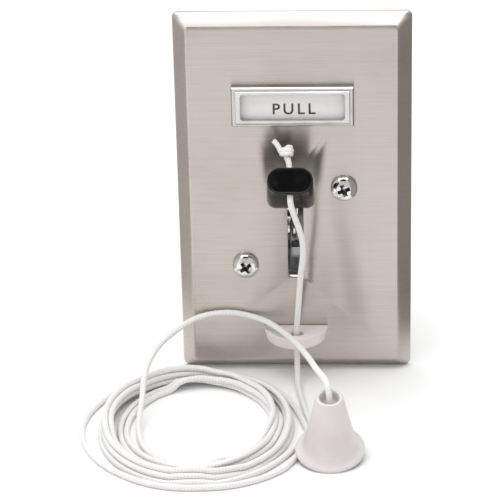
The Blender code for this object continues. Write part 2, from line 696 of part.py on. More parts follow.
def make_knob(axis):
    """The moulded knob: a tapered block with rounded edges, a socket and a cord hole."""
    bm = bmesh.new()
    size = (KNOB_LENGTH, KNOB_BASE[1], KNOB_BASE[0], 1.0)
    bmesh.ops.create_cube(bm, size=1.0, matrix=Matrix.Diagonal(size))
    for vert in bm.verts:
        if vert.co.x > 0:
            vert.co.y *= KNOB_END[1] / KNOB_BASE[1]
            vert.co.z *= KNOB_END[0] / KNOB_BASE[0]
    long_edges = [e for e in bm.edges if abs(e.verts[0].co.x - e.verts[1].co.x) > KNOB_LENGTH / 2]
    bmesh.ops.bevel(bm, geom=long_edges, offset=KNOB_CORNER, offset_type="OFFSET", segments=4,
                    profile=0.5, affect="EDGES")
    knob = new_mesh_object("knob", bm)
    rounded(knob, KNOB_EDGE, segments=3, angle=50.0)
    middle = KNOB_END_REACH - KNOB_LENGTH / 2
    base = KNOB_END_REACH - KNOB_LENGTH
    half = LEVER_HALF + FIT
    socket = block("knob_socket", (base - MM, -half, -LEVER_THICK / 2 - FIT),
                   (LEVER_REACH + FIT, half, LEVER_THICK / 2 + FIT))
    socket.parent = axis
    hole = KNOB_END_REACH - HOLE_BACK
    bore = rod("knob_cord_hole", CORD_HOLE, (hole, -KNOB_BASE[1], 0.0), (hole, KNOB_BASE[1], 0.0))
    bore.parent = axis
    cut(knob, socket)
    cut(knob, bore)
    smooth(knob)
    on_lever(finish(knob, "knob", "black_plastic"), axis, (middle, 0.0, 0.0))


def ball(name, radius, centre, squash=1.0):
    """A knot, as a slightly flattened ball."""
    bm = bmesh.new()
    bmesh.ops.create_uvsphere(bm, u_segments=16, v_segments=10, radius=radius,
                              matrix=Matrix.Diagonal((1.0, squash, 1.0, 1.0)))
    obj = new_mesh_object(name, bm, centre)
    smooth(obj, 60.0)
    return obj


def make_cord_top(axis):
    """The knot above the knob and the cord through the knob's hole."""
    along = KNOB_END_REACH - HOLE_BACK
    knot_at = KNOB_END[1] / 2 + 5.4 * MM
    knot = ball("top_knot", KNOT_RADIUS, (0.0, 0.0, 0.0))
    on_lever(finish(knot, "top_knot", "cord"), axis, (along, knot_at, 0.0))
    top = knot_at - KNOT_RADIUS - FIT
    bottom = -KNOB_BASE[1] / 2
    tube = cord_tube("cord_in_knob", [(along, top - (top - bottom) * i / 3, 0.0) for i in range(4)])
    tube.parent = axis


def level_after(level, thickness):
    """Lowest and highest height of a layer laid with a gap on the one below."""
    return level + FIT, level + FIT + thickness


def stack_plate(name, levels, front, finish_name, rear=FRAME_REAR):
    """One layer of the contact stack, pierced for the stack screws."""
    half = STACK_WIDTH / 2
    layer = block(name, (STACK_X - half, front, levels[0]), (STACK_X + half, rear, levels[1]))
    for y in STACK_SCREW_Y:
        cut(layer, rod(f"hole_{name}", STACK_SCREW[2] + FIT, (STACK_X, y, levels[0] - MM),
                       (STACK_X, y, levels[1] + MM), sides=16))
    return finish(layer, name, finish_name)


def contact_leaf(name, levels):
    """A contact leaf with a rivet hole at its tip and an eyelet at its rear end."""
    leaf = stack_plate(name, levels, LEAF_FRONT, "brass", rear=LEAF_REAR)
    for y, radius in ((CONTACT_Y, 1.1 * MM), (LEAF_REAR - 2.2 * MM, 1.0 * MM)):
        cut(leaf, rod(f"eye_{name}", radius, (STACK_X, y, levels[0] - MM),
                      (STACK_X, y, levels[1] + MM), sides=16))
    return leaf


def contact_rivet(name, leaf_levels, faces_up):
    """A contact rivet through a leaf, its domed head on the side that closes."""
    side = 1 if faces_up else -1
    face = leaf_levels[1] if faces_up else leaf_levels[0]
    back = leaf_levels[0] if faces_up else leaf_levels[1]
    head = side * (face - back) + FIT
    tip = head + CONTACT_HEAD
    foot = -FIT
    profile = [(0.0, tip), (CONTACT_RADIUS * 0.7, tip - 0.05 * MM), (CONTACT_RADIUS, tip - 0.2 * MM),
               (CONTACT_RADIUS, head), (0.8 * MM, head), (0.8 * MM, foot), (1.4 * MM, foot),
               (1.4 * MM, foot - 0.3 * MM), (0.0, foot - 0.3 * MM)]
    rivet = turned(name, profile, steps=20)
    rivet.location = (STACK_X, CONTACT_Y, back)
    if not faces_up:
        rivet.rotation_euler = (math.pi, 0.0, 0.0)
    return finish(rivet, name, "nickel")


def make_stack():
    """Insulators, contact leaves and rivets, clamp plate, screws and the pusher."""
    lower = level_after(SHELF_TOP, LOWER_INSULATOR)
    moving = level_after(lower[1], LEAF_THICK)
    middle = level_after(moving[1], MIDDLE_INSULATOR)
    fixed = level_after(middle[1], LEAF_THICK)
    upper = level_after(fixed[1], UPPER_INSULATOR)
    clamp = level_after(upper[1], CLAMP_THICK)
    stack_plate("insulator_lower", lower, STACK_FRONT, "insulator")
    contact_leaf("moving_leaf", moving)
    stack_plate("insulator_middle", middle, STACK_FRONT, "insulator")
    contact_leaf("fixed_leaf", fixed)
    stack_plate("insulator_upper", upper, STACK_FRONT, "insulator")
    stack_plate("clamp_plate", clamp, STACK_FRONT, "zinc_steel")
    for word, y in zip(("front", "rear"), STACK_SCREW_Y):
        fixing = screw(f"stack_screw_{word}", STACK_SCREW, "zinc_steel", sides=16)
        fixing.location = (STACK_X, y, clamp[1] + FIT)
    contact_rivet("moving_contact", moving, True)
    contact_rivet("fixed_contact", fixed, False)

    top = moving[0] - FIT
    bottom = PIVOT_Z + CAM_RADIUS + FIT
    collar = SHELF_TOP + FIT
    profile = [(0.0, top), (PUSHER_RADIUS, top), (PUSHER_RADIUS, collar + 0.8 * MM),
               (PUSHER_COLLAR, collar + 0.8 * MM), (PUSHER_COLLAR, collar), (PUSHER_RADIUS, collar),
               (PUSHER_RADIUS, bottom + 0.9 * MM), (PUSHER_RADIUS * 0.7, bottom + 0.3 * MM),
               (0.0, bottom)]
    pusher = turned("contact_pusher", profile)
    pusher.location = (STACK_X, PIVOT_Y, 0.0)
    finish(pusher, "contact_pusher", "nylon")


def make_detent():
    """The detent spring on the lower shelf, its bump in the wheel's rest notch, and its screw."""
    floor = LOWER_SHELF_TOP + FIT + SPRING_THICK / 2
    bump = PIVOT_Z - CAM_RADIUS + NOTCH_DEPTH - FIT - SPRING_THICK / 2
    low = bump - 3.2 * MM
    line = [(37.0 * MM, floor), (25.5 * MM, floor), (24.0 * MM, floor + 0.3 * MM),
            (PIVOT_Y + 4.2 * MM, low), (PIVOT_Y + 2.6 * MM, low + 0.5 * MM),
            (PIVOT_Y + 0.9 * MM, bump - 0.5 * MM), (PIVOT_Y, bump), (PIVOT_Y - 0.9 * MM, bump - 0.5 * MM),
            (PIVOT_Y - 2.6 * MM, low + 0.5 * MM), (PIVOT_Y - 4.2 * MM, low)]
    above = []
    below = []
    for i, (y, z) in enumerate(line):
        before = Vector(line[max(0, i - 1)])
        after = Vector(line[min(len(line) - 1, i + 1)])
        direction = (after - before).normalized()
        normal = Vector((-direction.y, direction.x)) * SPRING_THICK / 2
        above.append((y - normal.x, z - normal.y))
        below.append((y + normal.x, z + normal.y))
    spring = outline("detent_spring", [above + below[::-1]], SPRING_WIDTH)
    spring.matrix_world = (Matrix.Translation((detent_x(), 0.0, 0.0))
                           @ Matrix(((0.0, 0.0, 1.0), (1.0, 0.0, 0.0), (0.0, 1.0, 0.0))).to_4x4())
    spring = as_mesh(spring)
    cut(spring, rod("detent_hole", DETENT_SCREW[2] + FIT, (detent_x(), DETENT_SCREW_Y, -30 * MM),
                    (detent_x(), DETENT_SCREW_Y, -24 * MM), sides=16))
    finish(spring, "detent_spring", "zinc_steel")
    fixing = screw("detent_screw", DETENT_SCREW, "zinc_steel", sides=16)
    fixing.location = (detent_x(), DETENT_SCREW_Y, LOWER_SHELF_TOP + 2 * FIT + SPRING_THICK)


def make_guide():
    """The moulded cord guide: half an ellipse against the plate, with its cord hole."""
    back = FACE_Y - FIT
    points = []
    for i in range(25):
        angle = math.pi + math.pi * i / 24
        points.append((GUIDE_HALF * math.cos(angle), back + GUIDE_DEPTH * math.sin(angle)))
    hole = circle(GUIDE_HOLE, (GUIDE_HOLE_X, GUIDE_HOLE_Y))
    guide = outline("cord_guide", [points, hole], GUIDE_THICK)
    middle = GUIDE_TOP - GUIDE_THICK / 2
    guide.location = (0.0, 0.0, middle)
    guide = as_mesh(guide)
    for side in (-1, 1):
        x = side * GUIDE_SCREW_HALF
        tip = BEHIND_FACE_Y - GUIDE_SCREW[3]
        cut(guide, rod("guide_screw_hole", GUIDE_SCREW[2] + FIT, (x, tip, middle), (x, 0.0, middle), sides=16))
    finish(guide, "cord_guide", "white_plastic")


def bell_matrix():
    """The bell's frame: its base centre, with +Z up its tilted axis."""
    radius = BELL_RIM * 0.98
    centre = (BELL_X, BELL_FRONT_Y + radius * math.cos(BELL_TILT), FLOOR_Z + radius * math.sin(BELL_TILT))
    return Matrix.Translation(centre) @ Matrix.Rotation(BELL_TILT, 4, "X")


def make_bell():
    """The pull bell, turned with an even wall, and the knot that holds it on the cord."""
    top = BELL_HEIGHT
    rim = BELL_RIM
    outer = [(BELL_TOP - 0.6 * MM, top), (BELL_TOP, top - 0.6 * MM), (BELL_TOP * 1.1, top * 0.8),
             (BELL_TOP * 1.34, top * 0.6), (rim * 0.67, top * 0.4), (rim * 0.82, top * 0.2),
             (rim * 0.9, top * 0.1), (rim * 0.98, top * 0.07), (rim, top * 0.04), (rim * 0.98, 0.0)]
    wall = BELL_WALL
    inner = [(rim * 0.9, 0.0), (rim * 0.82 - wall * 0.4, top * 0.1), (rim * 0.67 - wall * 0.7, top * 0.3),
             (BELL_TOP * 1.34 - wall * 0.8, top * 0.53), (BELL_TOP * 1.1 - wall, top * 0.75),
             (BELL_TOP - wall, top - 1.8 * wall), (CORD_HOLE, top - 1.8 * wall), (CORD_HOLE, top)]
    bell = turned("pull_bell", outer + inner, closed=True, steps=32)
    bell.matrix_world = bell_matrix()
    finish(bell, "pull_bell", "white_plastic")
    seat = BELL_HEIGHT - 1.8 * BELL_WALL - FIT - KNOT_RADIUS * 0.8
    knot = ball("bell_knot", KNOT_RADIUS * 0.8, (0.0, 0.0, 0.0))
    knot.matrix_world = bell_matrix() @ Matrix.Translation((0.0, 0.0, seat))
    finish(knot, "bell_knot", "cord")


# The cord's route, in millimetres, chosen by hand: knob to guide, guide to coil, coil to bell.
RUN_ROUTE = [(-0.6, -22.6, 6.95), (-0.4, -23.2, 5.6), (0.05, -23.0, 3.8), (0.8, -22.1, 0.8),
             (2.0, -20.3, -3.8), (2.75, -18.4, -8.6), (2.7, -16.5, -13.8), (1.9, -14.5, -20.8),
             (1.2, -12.6, -29.8), (0.5, -11.0, -38.4), (0.3, -10.5, -42.0), (0.3, -10.5, -46.4)]
DROP_ROUTE = [(0.3, -10.5, -46.7), (0.35, -11.0, -50.0), (0.5, -13.2, -53.8), (0.9, -18.5, -56.1),
              (2.6, -29.0, -56.25), (4.7, -40.0, -56.1), (5.8, -45.6, -55.1), (6.0, -50.1, -54.3),
              (4.6, -53.9, -54.8), (2.5, -58.0, -56.0), (0.6, -62.6, -56.25), (-1.8, -67.8, -56.25)]
ARCH_ROUTE = [(10.8, -64.4, -34.65), (10.55, -63.65, -33.1), (10.15, -62.3, -32.1), (9.6, -60.6, -31.7),
              (7.2, -55.0, -31.5), (5.4, -46.0, -33.4), (3.5, -37.0, -35.4),
              (0.9, -27.0, -37.3), (-2.2, -18.0, -38.9), (-5.5, -12.0, -39.2), (-9.1, -8.2, -38.8),
              (-14.6, -6.1, -37.8), (-20.0, -6.1, -36.9), (-26.0, -6.2, -37.4), (-30.8, -7.2, -38.6),
              (-35.5, -9.6, -40.6), (-41.0, -14.6, -43.6), (-44.0, -21.8, -46.3), (-44.9, -29.0, -48.8),
              (-44.9, -35.0, -51.1), (-45.2, -40.5, -53.2), (-45.3, -46.0, -54.9), (-44.2, -52.0, -56.0)]


def make_cords():
    """The stretches of cord that aren't coiled, and the outer shape of the coil."""
    spacing = 5.0 * MM
    cord_tube("cord_run", smooth_route(RUN_ROUTE, spacing))
    cord_tube("cord_drop", smooth_route(DROP_ROUTE, spacing))
    frame = bell_matrix()
    heights = (BELL_HEIGHT - 1.8 * BELL_WALL, BELL_HEIGHT - MM)
    leaving = [tuple(frame @ Vector((0.0, 0.0, h)) / MM) for h in heights]
    cord_tube("cord_arch", smooth_route(leaving + ARCH_ROUTE, spacing))

    loops = []
    for size in (COIL_OUTER, COIL_INNER):
        loops.append([(size[0] * x, size[1] * y) for x, y in circle(1.0, sides=48)])
    coil = outline("cord_coil", loops, COIL_HEIGHT)
    coil.location = (*COIL_CENTRE, FLOOR_Z + COIL_HEIGHT / 2)
    finish(coil, "cord_coil", "cord")


def main():
    start_empty()
    make_wall_plate()
    make_label()
    make_strap()
    make_screws()
    make_frame()
    make_pins()
    axis = lever_axis()
    make_lever(axis)
    make_knob(axis)
    make_cord_top(axis)
    make_stack()
    make_detent()
    make_guide()
    make_bell()
    make_cords()


main()
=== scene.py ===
"""Looks of the pull cord switch: every visible piece and finish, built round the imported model.

Lengths are in metres, written as millimetres times MM. The plate stands in the XZ plane with its
front towards -Y, and the coil and the bell lie on the surface under its lower edge.
"""
import math

import bmesh
import bpy
from mathutils import Matrix, Vector


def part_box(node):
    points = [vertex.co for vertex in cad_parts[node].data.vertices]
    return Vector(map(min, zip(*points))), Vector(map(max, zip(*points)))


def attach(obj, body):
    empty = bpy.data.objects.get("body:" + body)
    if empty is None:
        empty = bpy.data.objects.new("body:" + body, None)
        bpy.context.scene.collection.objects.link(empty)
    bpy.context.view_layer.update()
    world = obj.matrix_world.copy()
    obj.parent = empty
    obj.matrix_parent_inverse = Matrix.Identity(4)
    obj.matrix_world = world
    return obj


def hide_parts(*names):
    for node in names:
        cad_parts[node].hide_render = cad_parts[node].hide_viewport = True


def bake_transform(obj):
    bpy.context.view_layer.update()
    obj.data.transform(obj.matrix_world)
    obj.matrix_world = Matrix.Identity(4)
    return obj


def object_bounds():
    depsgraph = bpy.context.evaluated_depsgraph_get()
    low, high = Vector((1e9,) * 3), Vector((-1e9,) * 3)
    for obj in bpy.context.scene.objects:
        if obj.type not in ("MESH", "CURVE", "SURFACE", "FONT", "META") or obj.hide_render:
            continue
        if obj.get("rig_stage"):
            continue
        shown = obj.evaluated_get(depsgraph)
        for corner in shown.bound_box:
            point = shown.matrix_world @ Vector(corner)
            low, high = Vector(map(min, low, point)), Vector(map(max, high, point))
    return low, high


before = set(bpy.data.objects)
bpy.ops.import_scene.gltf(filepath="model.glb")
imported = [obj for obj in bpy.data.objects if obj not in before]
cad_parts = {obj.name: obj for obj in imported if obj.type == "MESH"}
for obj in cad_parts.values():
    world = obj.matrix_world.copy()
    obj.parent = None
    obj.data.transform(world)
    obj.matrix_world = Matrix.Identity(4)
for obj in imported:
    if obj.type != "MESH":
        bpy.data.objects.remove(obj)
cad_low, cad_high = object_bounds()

# ---------------------------------------------------------
# Surface, lights and camera. The switch stands on a pale matt table top under a large soft box,
# with a lower light to the left. The camera looks down on it through a long lens.
MM = 0.001
TABLE_Z = cad_low.z


class Value:
    """Something that varies over a surface. A sum on it adds a Math node to its finish."""

    def __init__(self, finish, socket):
        self.finish = finish
        self.socket = socket

    def maths(self, operation, *values):
        return self.finish.node("Math", {"operation": operation}, dict(enumerate(values)))

    def __add__(self, other):
        return self.maths("ADD", self, other)

    def __sub__(self, other):
        return self.maths("SUBTRACT", self, other)

    def __mul__(self, other):
        return self.maths("MULTIPLY", self, other)

    def __rsub__(self, other):
        return self.maths("SUBTRACT", other, self)

    __radd__ = __add__
    __rmul__ = __mul__

    def step(self, low, high):
        """A smooth rise from 0 at low to 1 at high."""
        settings = {"interpolation_type": "SMOOTHSTEP"}
        return self.finish.node("MapRange", settings, {0: self, 1: low, 2: high, 3: 0.0, 4: 1.0})


class Finish:
    """A material named for what the piece is made of, with one method that adds any other node."""

    def __init__(self, name, colour, roughness, metallic=0.0, **even):
        self.material = bpy.data.materials.new(name)
        self.material.use_nodes = True
        self.tree = self.material.node_tree
        self.shader = self.tree.nodes["Principled BSDF"]
        self.paint("Base Color", (*colour, 1.0))
        self.paint("Roughness", roughness)
        self.paint("Metallic", metallic)
        for socket, value in even.items():
            self.paint(socket.replace("_", " "), value)

    def feed(self, socket, value):
        if isinstance(value, Value):
            self.tree.links.new(value.socket, socket)
        else:
            socket.default_value = value

    def paint(self, socket, value):
        self.feed(self.shader.inputs[socket], value)

    def node(self, kind, settings=None, sockets=None, output=0):
        made = self.tree.nodes.new("ShaderNode" + kind)
        for name, value in (settings or {}).items():
            setattr(made, name, value)
        for name, value in (sockets or {}).items():
            self.feed(made.inputs[name], value)
        return Value(self, made.outputs[output])

    def cloud(self, scale, detail=2.0, stretch=(1.0, 1.0, 1.0)):
        """Patches from 0 to 1, one to every 1/scale metres, closer along a stretched axis."""
        place = self.node("TexCoord", output="Object")
        place = self.node("Mapping", {}, {"Vector": place, "Scale": stretch})
        return self.node("TexNoise", {}, {"Vector": place, "Scale": scale, "Detail": detail})

    def tint(self, colour_low, colour_high, share):
        """Two colours mixed by a share from 0 to 1."""
        sockets = {0: share, 6: (*colour_low, 1.0), 7: (*colour_high, 1.0)}
        return self.node("Mix", {"data_type": "RGBA"}, sockets, output=2)

    def colour(self, low, high, share):
        """A base colour between two, by a share from 0 to 1."""
        self.paint("Base Color", self.tint(low, high, share))

    def stained(self, colour, stain, share=1.0):
        """A colour multiplied by a stain's colour, as strongly as the share."""
        settings = {"data_type": "RGBA", "blend_type": "MULTIPLY"}
        return self.node("Mix", settings, {0: share, 6: colour, 7: stain}, output=2)

    def relief(self, height, depth, strength=1.0):
        """Fine relief, as deep as the depth in metres where the height goes from 0 to 1."""
        bump = self.node("Bump", {}, {"Height": height, "Distance": depth, "Strength": strength})
        self.paint("Normal", bump)


def soft_light(name, place, aim, size, power):
    """A square area light that faces its aim."""
    bpy.ops.object.light_add(type="AREA", location=place)
    light = bpy.context.object
    light.name = name
    light.data.size = size
    light.data.energy = power
    light.rotation_euler = (Vector(aim) - Vector(place)).to_track_quat("-Z", "Y").to_euler()


def flag(name, place, aim, size, glow):
    """A card that only shows in reflections, like those beside a studio table, but glowing as bright as
    its glow: a painted reflection, bright or black, that lights nothing.
    """
    bpy.ops.mesh.primitive_plane_add(size=1.0, location=place)
    card = bpy.context.object
    card.name = name
    card.scale = (*size, 1.0)
    card.rotation_euler = (Vector(aim) - Vector(place)).to_track_quat("Z", "Y").to_euler()
    reflection_card = Finish(name + "_felt", (0.01, 0.01, 0.01), 1.0, Specular_IOR_Level=0.0,
                  Emission_Color=(0.98, 0.95, 0.92, 1.0), Emission_Strength=glow)
    card.data.materials.append(reflection_card.material)
    card.visible_camera = False
    card.visible_diffuse = False
    card.visible_shadow = False
    card.visible_transmission = False
    card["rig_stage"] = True


bpy.ops.mesh.primitive_plane_add(size=4.0, location=(0.0, 0.0, TABLE_Z))
table = bpy.context.object
table.name = "table_top"
matt = Finish("matt_white_table", (0.90, 0.90, 0.89), 0.85)
matt.colour((0.89, 0.89, 0.88), (0.92, 0.92, 0.91), matt.cloud(9.0))
table.data.materials.append(matt.material)
table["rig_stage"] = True

soft_light("soft_box", place=(-0.08, -0.02, 0.85), aim=(0.0, -0.03, 0.0), size=1.0, power=7.2)
soft_light("side_fill", place=(-0.75, -0.55, 0.35), aim=(0.0, 0.0, 0.0), size=0.90, power=1.0)
# Painted reflections: cards that glow on the right and left, and a black one in front, seen only in shiny
# surfaces.
flag("flag_right", place=(0.052, 0.0, 0.005), aim=(0.0, 0.0, 0.005), size=(0.12, 0.13), glow=0.34)
flag("flag_left", place=(-0.075, 0.0, 0.005), aim=(0.0, 0.0, 0.005), size=(0.10, 0.13), glow=0.60)
flag("flag_front", place=(-0.03, -0.30, 0.42), aim=(0.0, -0.02, 0.0), size=(0.34, 0.26), glow=0.0)
world = bpy.data.worlds.new("studio_air")
world.use_nodes = True
air = world.node_tree.nodes["Background"]
air.inputs["Color"].default_value = (0.98, 0.99, 1.0, 1.0)
air.inputs["Strength"].default_value = 0.68
bpy.context.scene.world = world
bpy.context.scene.view_settings.view_transform = "Standard"

AIM = Vector((-0.013745, 0.0, -0.018884))
AZIMUTH = math.radians(2.92)
ELEVATION = math.radians(24.02)
ROLL = math.radians(-1.37)
DISTANCE = 0.7467
back = Vector((math.sin(AZIMUTH) * math.cos(ELEVATION), -math.cos(AZIMUTH) * math.cos(ELEVATION),
               math.sin(ELEVATION)))
level = (-back).cross(Vector((0.0, 0.0, 1.0))).normalized()
upright = level.cross(-back)
right = math.cos(ROLL) * level + math.sin(ROLL) * upright
up = math.cos(ROLL) * upright - math.sin(ROLL) * level
bpy.ops.object.camera_add()
camera = bpy.context.object
aimed = Matrix((right, up, back)).transposed().to_4x4()
camera.matrix_world = Matrix.Translation(AIM + back * DISTANCE) @ aimed
camera.data.lens = 177.55
camera.data.sensor_width = 36.0
bpy.context.scene.camera = camera

# ---------------------------------------------------------
# Pull cord. Soft braided white nylon, 1.8 mm thick and about 1.8 m long. One end is knotted above
# the knob, whose hole it passes down. It runs down through the guide, is coiled by hand on the
# table, comes over the guide in one arch and goes down into the bell.
CORD_RADIUS = 0.9 * MM
BRAID_PITCH = 1.9 * MM
BRAID_STRANDS = 5
SPACING = 2.0 * MM
LEVER_AXIS = Vector((-0.6, 13.8, -16.7)) * MM
REST_ANGLE = math.radians(40.0)
LEVER_TURN = Matrix.Rotation(math.pi / 2 - REST_ANGLE, 4, "X")
LEVER_UP = Matrix.Rotation(-REST_ANGLE, 4, "X")
KNOB_HOLE = 43.1 * MM               # along the lever from its pivot
GUIDE_HOLE = (0.3, -10.5)           # x and y of the hole through the guide, in millimetres


def on_lever(along, above, across=0.0):
    """A point at rest, from its place along the lever, above it and across it."""
    c = math.cos(REST_ANGLE)
    s = math.sin(REST_ANGLE)
    return LEVER_AXIS + Vector((across, above * s - along * c, above * c + along * s))


def smooth_through(route, spacing=SPACING):
    """Points about one spacing apart on a smooth curve through the route's points."""
    ends = [2 * route[0] - route[1]] + route + [2 * route[-1] - route[-2]]
    points = [route[0]]
    for before, a, b, after in zip(ends, ends[1:], ends[2:], ends[3:]):
        steps = max(1, round((b - a).length / spacing))
        for i in range(1, steps + 1):
            t = i / steps
            bend = (2 * a + (b - before) * t + (2 * before - 5 * a + 4 * b - after) * t * t
                    + (3 * a - before - 3 * b + after) * t * t * t)
            points.append(bend / 2)
    return points


def evenly(points, spacing):
    """The same line with its points one spacing apart, so that a braid on it is even."""
    reach = [0.0]
    for a, b in zip(points, points[1:]):
        reach.append(reach[-1] + (b - a).length)
    count = max(2, round(reach[-1] / spacing))
    even = []
    j = 0
    for i in range(count + 1):
        want = reach[-1] * i / count
        while j < len(points) - 2 and reach[j + 1] < want:
            j += 1
        share = (want - reach[j]) / max(reach[j + 1] - reach[j], 1e-9)
        even.append(points[j].lerp(points[j + 1], share))
    return even


def length_of(points):
    return sum((b - a).length for a, b in zip(points, points[1:]))


def braided_nylon(name, length):
    """White braid: two sets of strands cross in rounded diamonds along the cord's own map, painted darker
    in the grooves between them as painted shade, and soiled in patches.
    """
    braid = Finish(name, (0.86, 0.85, 0.83), 0.62, Sheen_Weight=0.25, Subsurface_Weight=0.08,
                   Subsurface_Scale=0.6 * MM)
    chart = braid.node("UVMap")
    around = braid.node("SeparateXYZ", {}, {0: chart}, output=1) * (math.tau * BRAID_STRANDS)
    along = braid.node("SeparateXYZ", {}, {0: chart}, output=0) * (math.tau * length / BRAID_PITCH)
    one_way = (around + along).maths("SINE", around + along)
    other_way = (around - along).maths("SINE", around - along)
    diamonds = one_way * other_way * 0.5 + 0.5
    soil = braid.cloud(55.0, 3.0)
    # Painted shade: the braid is darker where its diamonds sink, in the grooves between the strands.
    groove_shaded = braid.tint((0.72, 0.70, 0.68), (0.84, 0.83, 0.82), diamonds.step(0.02, 0.45))
    used = braid.tint((0.93, 0.92, 0.90), (1.0, 1.0, 1.0), soil)
    braid.paint("Base Color", braid.stained(groove_shaded, used, 0.5))
    braid.paint("Roughness", soil * 0.14 + 0.56)
    braid.relief(diamonds, 0.12 * MM, 0.7)
    return braid.material


def take(piece):
    """Make a piece the only one selected."""
    bpy.ops.object.select_all(action="DESELECT")
    piece.select_set(True)
    bpy.context.view_layer.objects.active = piece


def cord_tube(name, points, radius=CORD_RADIUS, sides_level=4):
    """A round cord along a line, made a mesh with a map along and around it."""
    curve = bpy.data.curves.new(name, "CURVE")
    curve.dimensions = "3D"
    curve.bevel_depth = radius
    curve.bevel_resolution = sides_level
    curve.use_fill_caps = True
    spline = curve.splines.new("POLY")
    spline.points.add(len(points) - 1)
    for point, place in zip(spline.points, points):
        point.co = (*place, 1.0)
    spline.use_smooth = True
    line = bpy.data.objects.new(name, curve)
    bpy.context.scene.collection.objects.link(line)
    take(line)
    bpy.ops.object.convert(target="MESH")
    tube = bpy.context.object
    tube.name = name
    tube.data.materials.clear()
    tube.data.materials.append(braided_nylon(name + "_braid", length_of(points)))
    bpy.ops.object.shade_smooth_by_angle(angle=math.radians(60.0))
    return tube


# The points that the cord follows, in millimetres: knob to guide, guide to coil, bell to coil.
RUN_ROUTE = [(-0.6, -22.6, 6.95), (-0.4, -23.2, 5.6), (0.05, -23.0, 3.8), (0.8, -22.1, 0.8),
             (2.0, -20.3, -3.8), (2.75, -18.4, -8.6), (2.7, -16.5, -13.8), (1.9, -14.5, -20.8),
             (1.2, -12.6, -29.8), (0.5, -11.0, -38.4), (0.3, -10.5, -42.0), (0.3, -10.5, -44.7)]
DROP_ROUTE = [(0.3, -10.5, -46.7), (0.35, -11.0, -50.0), (0.5, -13.2, -53.8), (0.9, -18.5, -56.1),
              (2.6, -29.0, -56.25), (4.7, -40.0, -56.1), (5.8, -45.6, -55.1), (6.0, -50.1, -54.3),
              (4.6, -53.9, -54.8), (2.5, -58.0, -56.0), (0.6, -62.6, -56.25), (-1.8, -67.8, -56.25)]
ARCH_ROUTE = [(10.8, -64.4, -34.65), (10.55, -63.65, -33.1), (10.15, -62.3, -32.1), (9.6, -60.6, -31.7),
              (7.2, -55.0, -31.5), (5.4, -46.0, -33.4), (3.5, -37.0, -35.4),
              (0.9, -27.0, -37.3), (-2.2, -18.0, -38.9), (-5.5, -12.0, -39.2), (-9.1, -8.2, -38.8),
              (-14.6, -6.1, -37.8), (-20.0, -6.1, -36.9), (-26.0, -6.2, -37.4), (-30.8, -7.2, -38.6),
              (-35.5, -9.6, -40.6), (-41.0, -14.6, -43.6), (-44.0, -21.8, -46.3), (-44.9, -29.0, -48.8),
              (-44.9, -35.0, -51.1), (-45.2, -40.5, -53.2), (-45.3, -46.0, -54.9), (-44.2, -52.0, -56.0)]
BELL_TILT = math.radians(13.7)
BELL_BASE = Vector((10.9, -69.4 + 9.8 * math.cos(BELL_TILT), -57.15 + 9.8 * math.sin(BELL_TILT))) * MM
BELL_FRAME = Matrix.Translation(BELL_BASE) @ Matrix.Rotation(BELL_TILT, 4, "X")

COIL_CENTRE = Vector((-28.0, -43.5, 0.0)) * MM
COIL_LANE = (20.9 * MM, 25.9 * MM)   # half-axes of the innermost lane
COIL_START = math.radians(-38.9)
# How far out the cord lies from the innermost lane, in millimetres, at each number of turns.
TURNS = [(0.0, 12.8), (0.05, 11.8), (0.13, 9.8), (0.25, 10.6), (0.39, 13.4), (0.52, 11.2), (0.64, 9.4),
         (0.78, 9.0), (0.836, 9.1), (0.870, 9.7), (0.892, 10.6), (0.909, 12.0), (0.920, 12.6),
         (0.931, 11.7), (0.944, 10.2), (0.962, 9.1), (1.01, 8.7), (1.4, 7.4), (1.8, 7.0), (2.2, 7.2),
         (2.6, 5.3), (3.0, 4.7), (3.4, 4.9), (3.8, 3.0), (4.2, 2.4), (4.6, 2.2), (5.0, 0.5), (5.4, 0.3),
         (5.8, 1.4), (6.2, 3.6), (6.6, 4.6), (7.0, 6.3), (7.4, 5.7), (7.7, 3.4), (7.95, 0.8), (8.15, -1.6),
         (8.3287, -3.4)]


def lane_at(turn):
    """The lane at a number of turns, in proportion between the two that are listed."""
    for (t0, lane0), (t1, lane1) in zip(TURNS, TURNS[1:]):
        if turn <= t1:
            return lane0 + (lane1 - lane0) * ((turn - t0) / (t1 - t0))
    return TURNS[-1][1]


def coil_line():
    """The coil's turns from above, wound clockwise, each wandering a little from its lane."""
    steps = 96
    count = round(TURNS[-1][0] * steps)
    lanes = [lane_at(i / steps) for i in range(count + 1)]
    for _ in range(3):
        eased = [(a + 2 * b + c) / 4 for a, b, c in zip(lanes, lanes[1:], lanes[2:])]
        lanes = [lanes[0]] + eased + [lanes[-1]]
    line = []
    for i, lane in enumerate(lanes):
        turn = i / steps
        loose = min(1.0, max(0.0, turn - 1.0) * 2.0) * min(1.0, (TURNS[-1][0] - turn) * 3.0)
        wander = (0.35 * math.sin(math.tau * (0.83 * turn + 0.10))
                  + 0.25 * math.sin(math.tau * (1.71 * turn + 0.45)))
        out = (lane + loose * wander) * MM
        angle = COIL_START - math.tau * turn
        line.append(COIL_CENTRE + Vector(((COIL_LANE[0] + out) * math.cos(angle),
                                          (COIL_LANE[1] + out) * math.sin(angle), 0.0)))
    return line


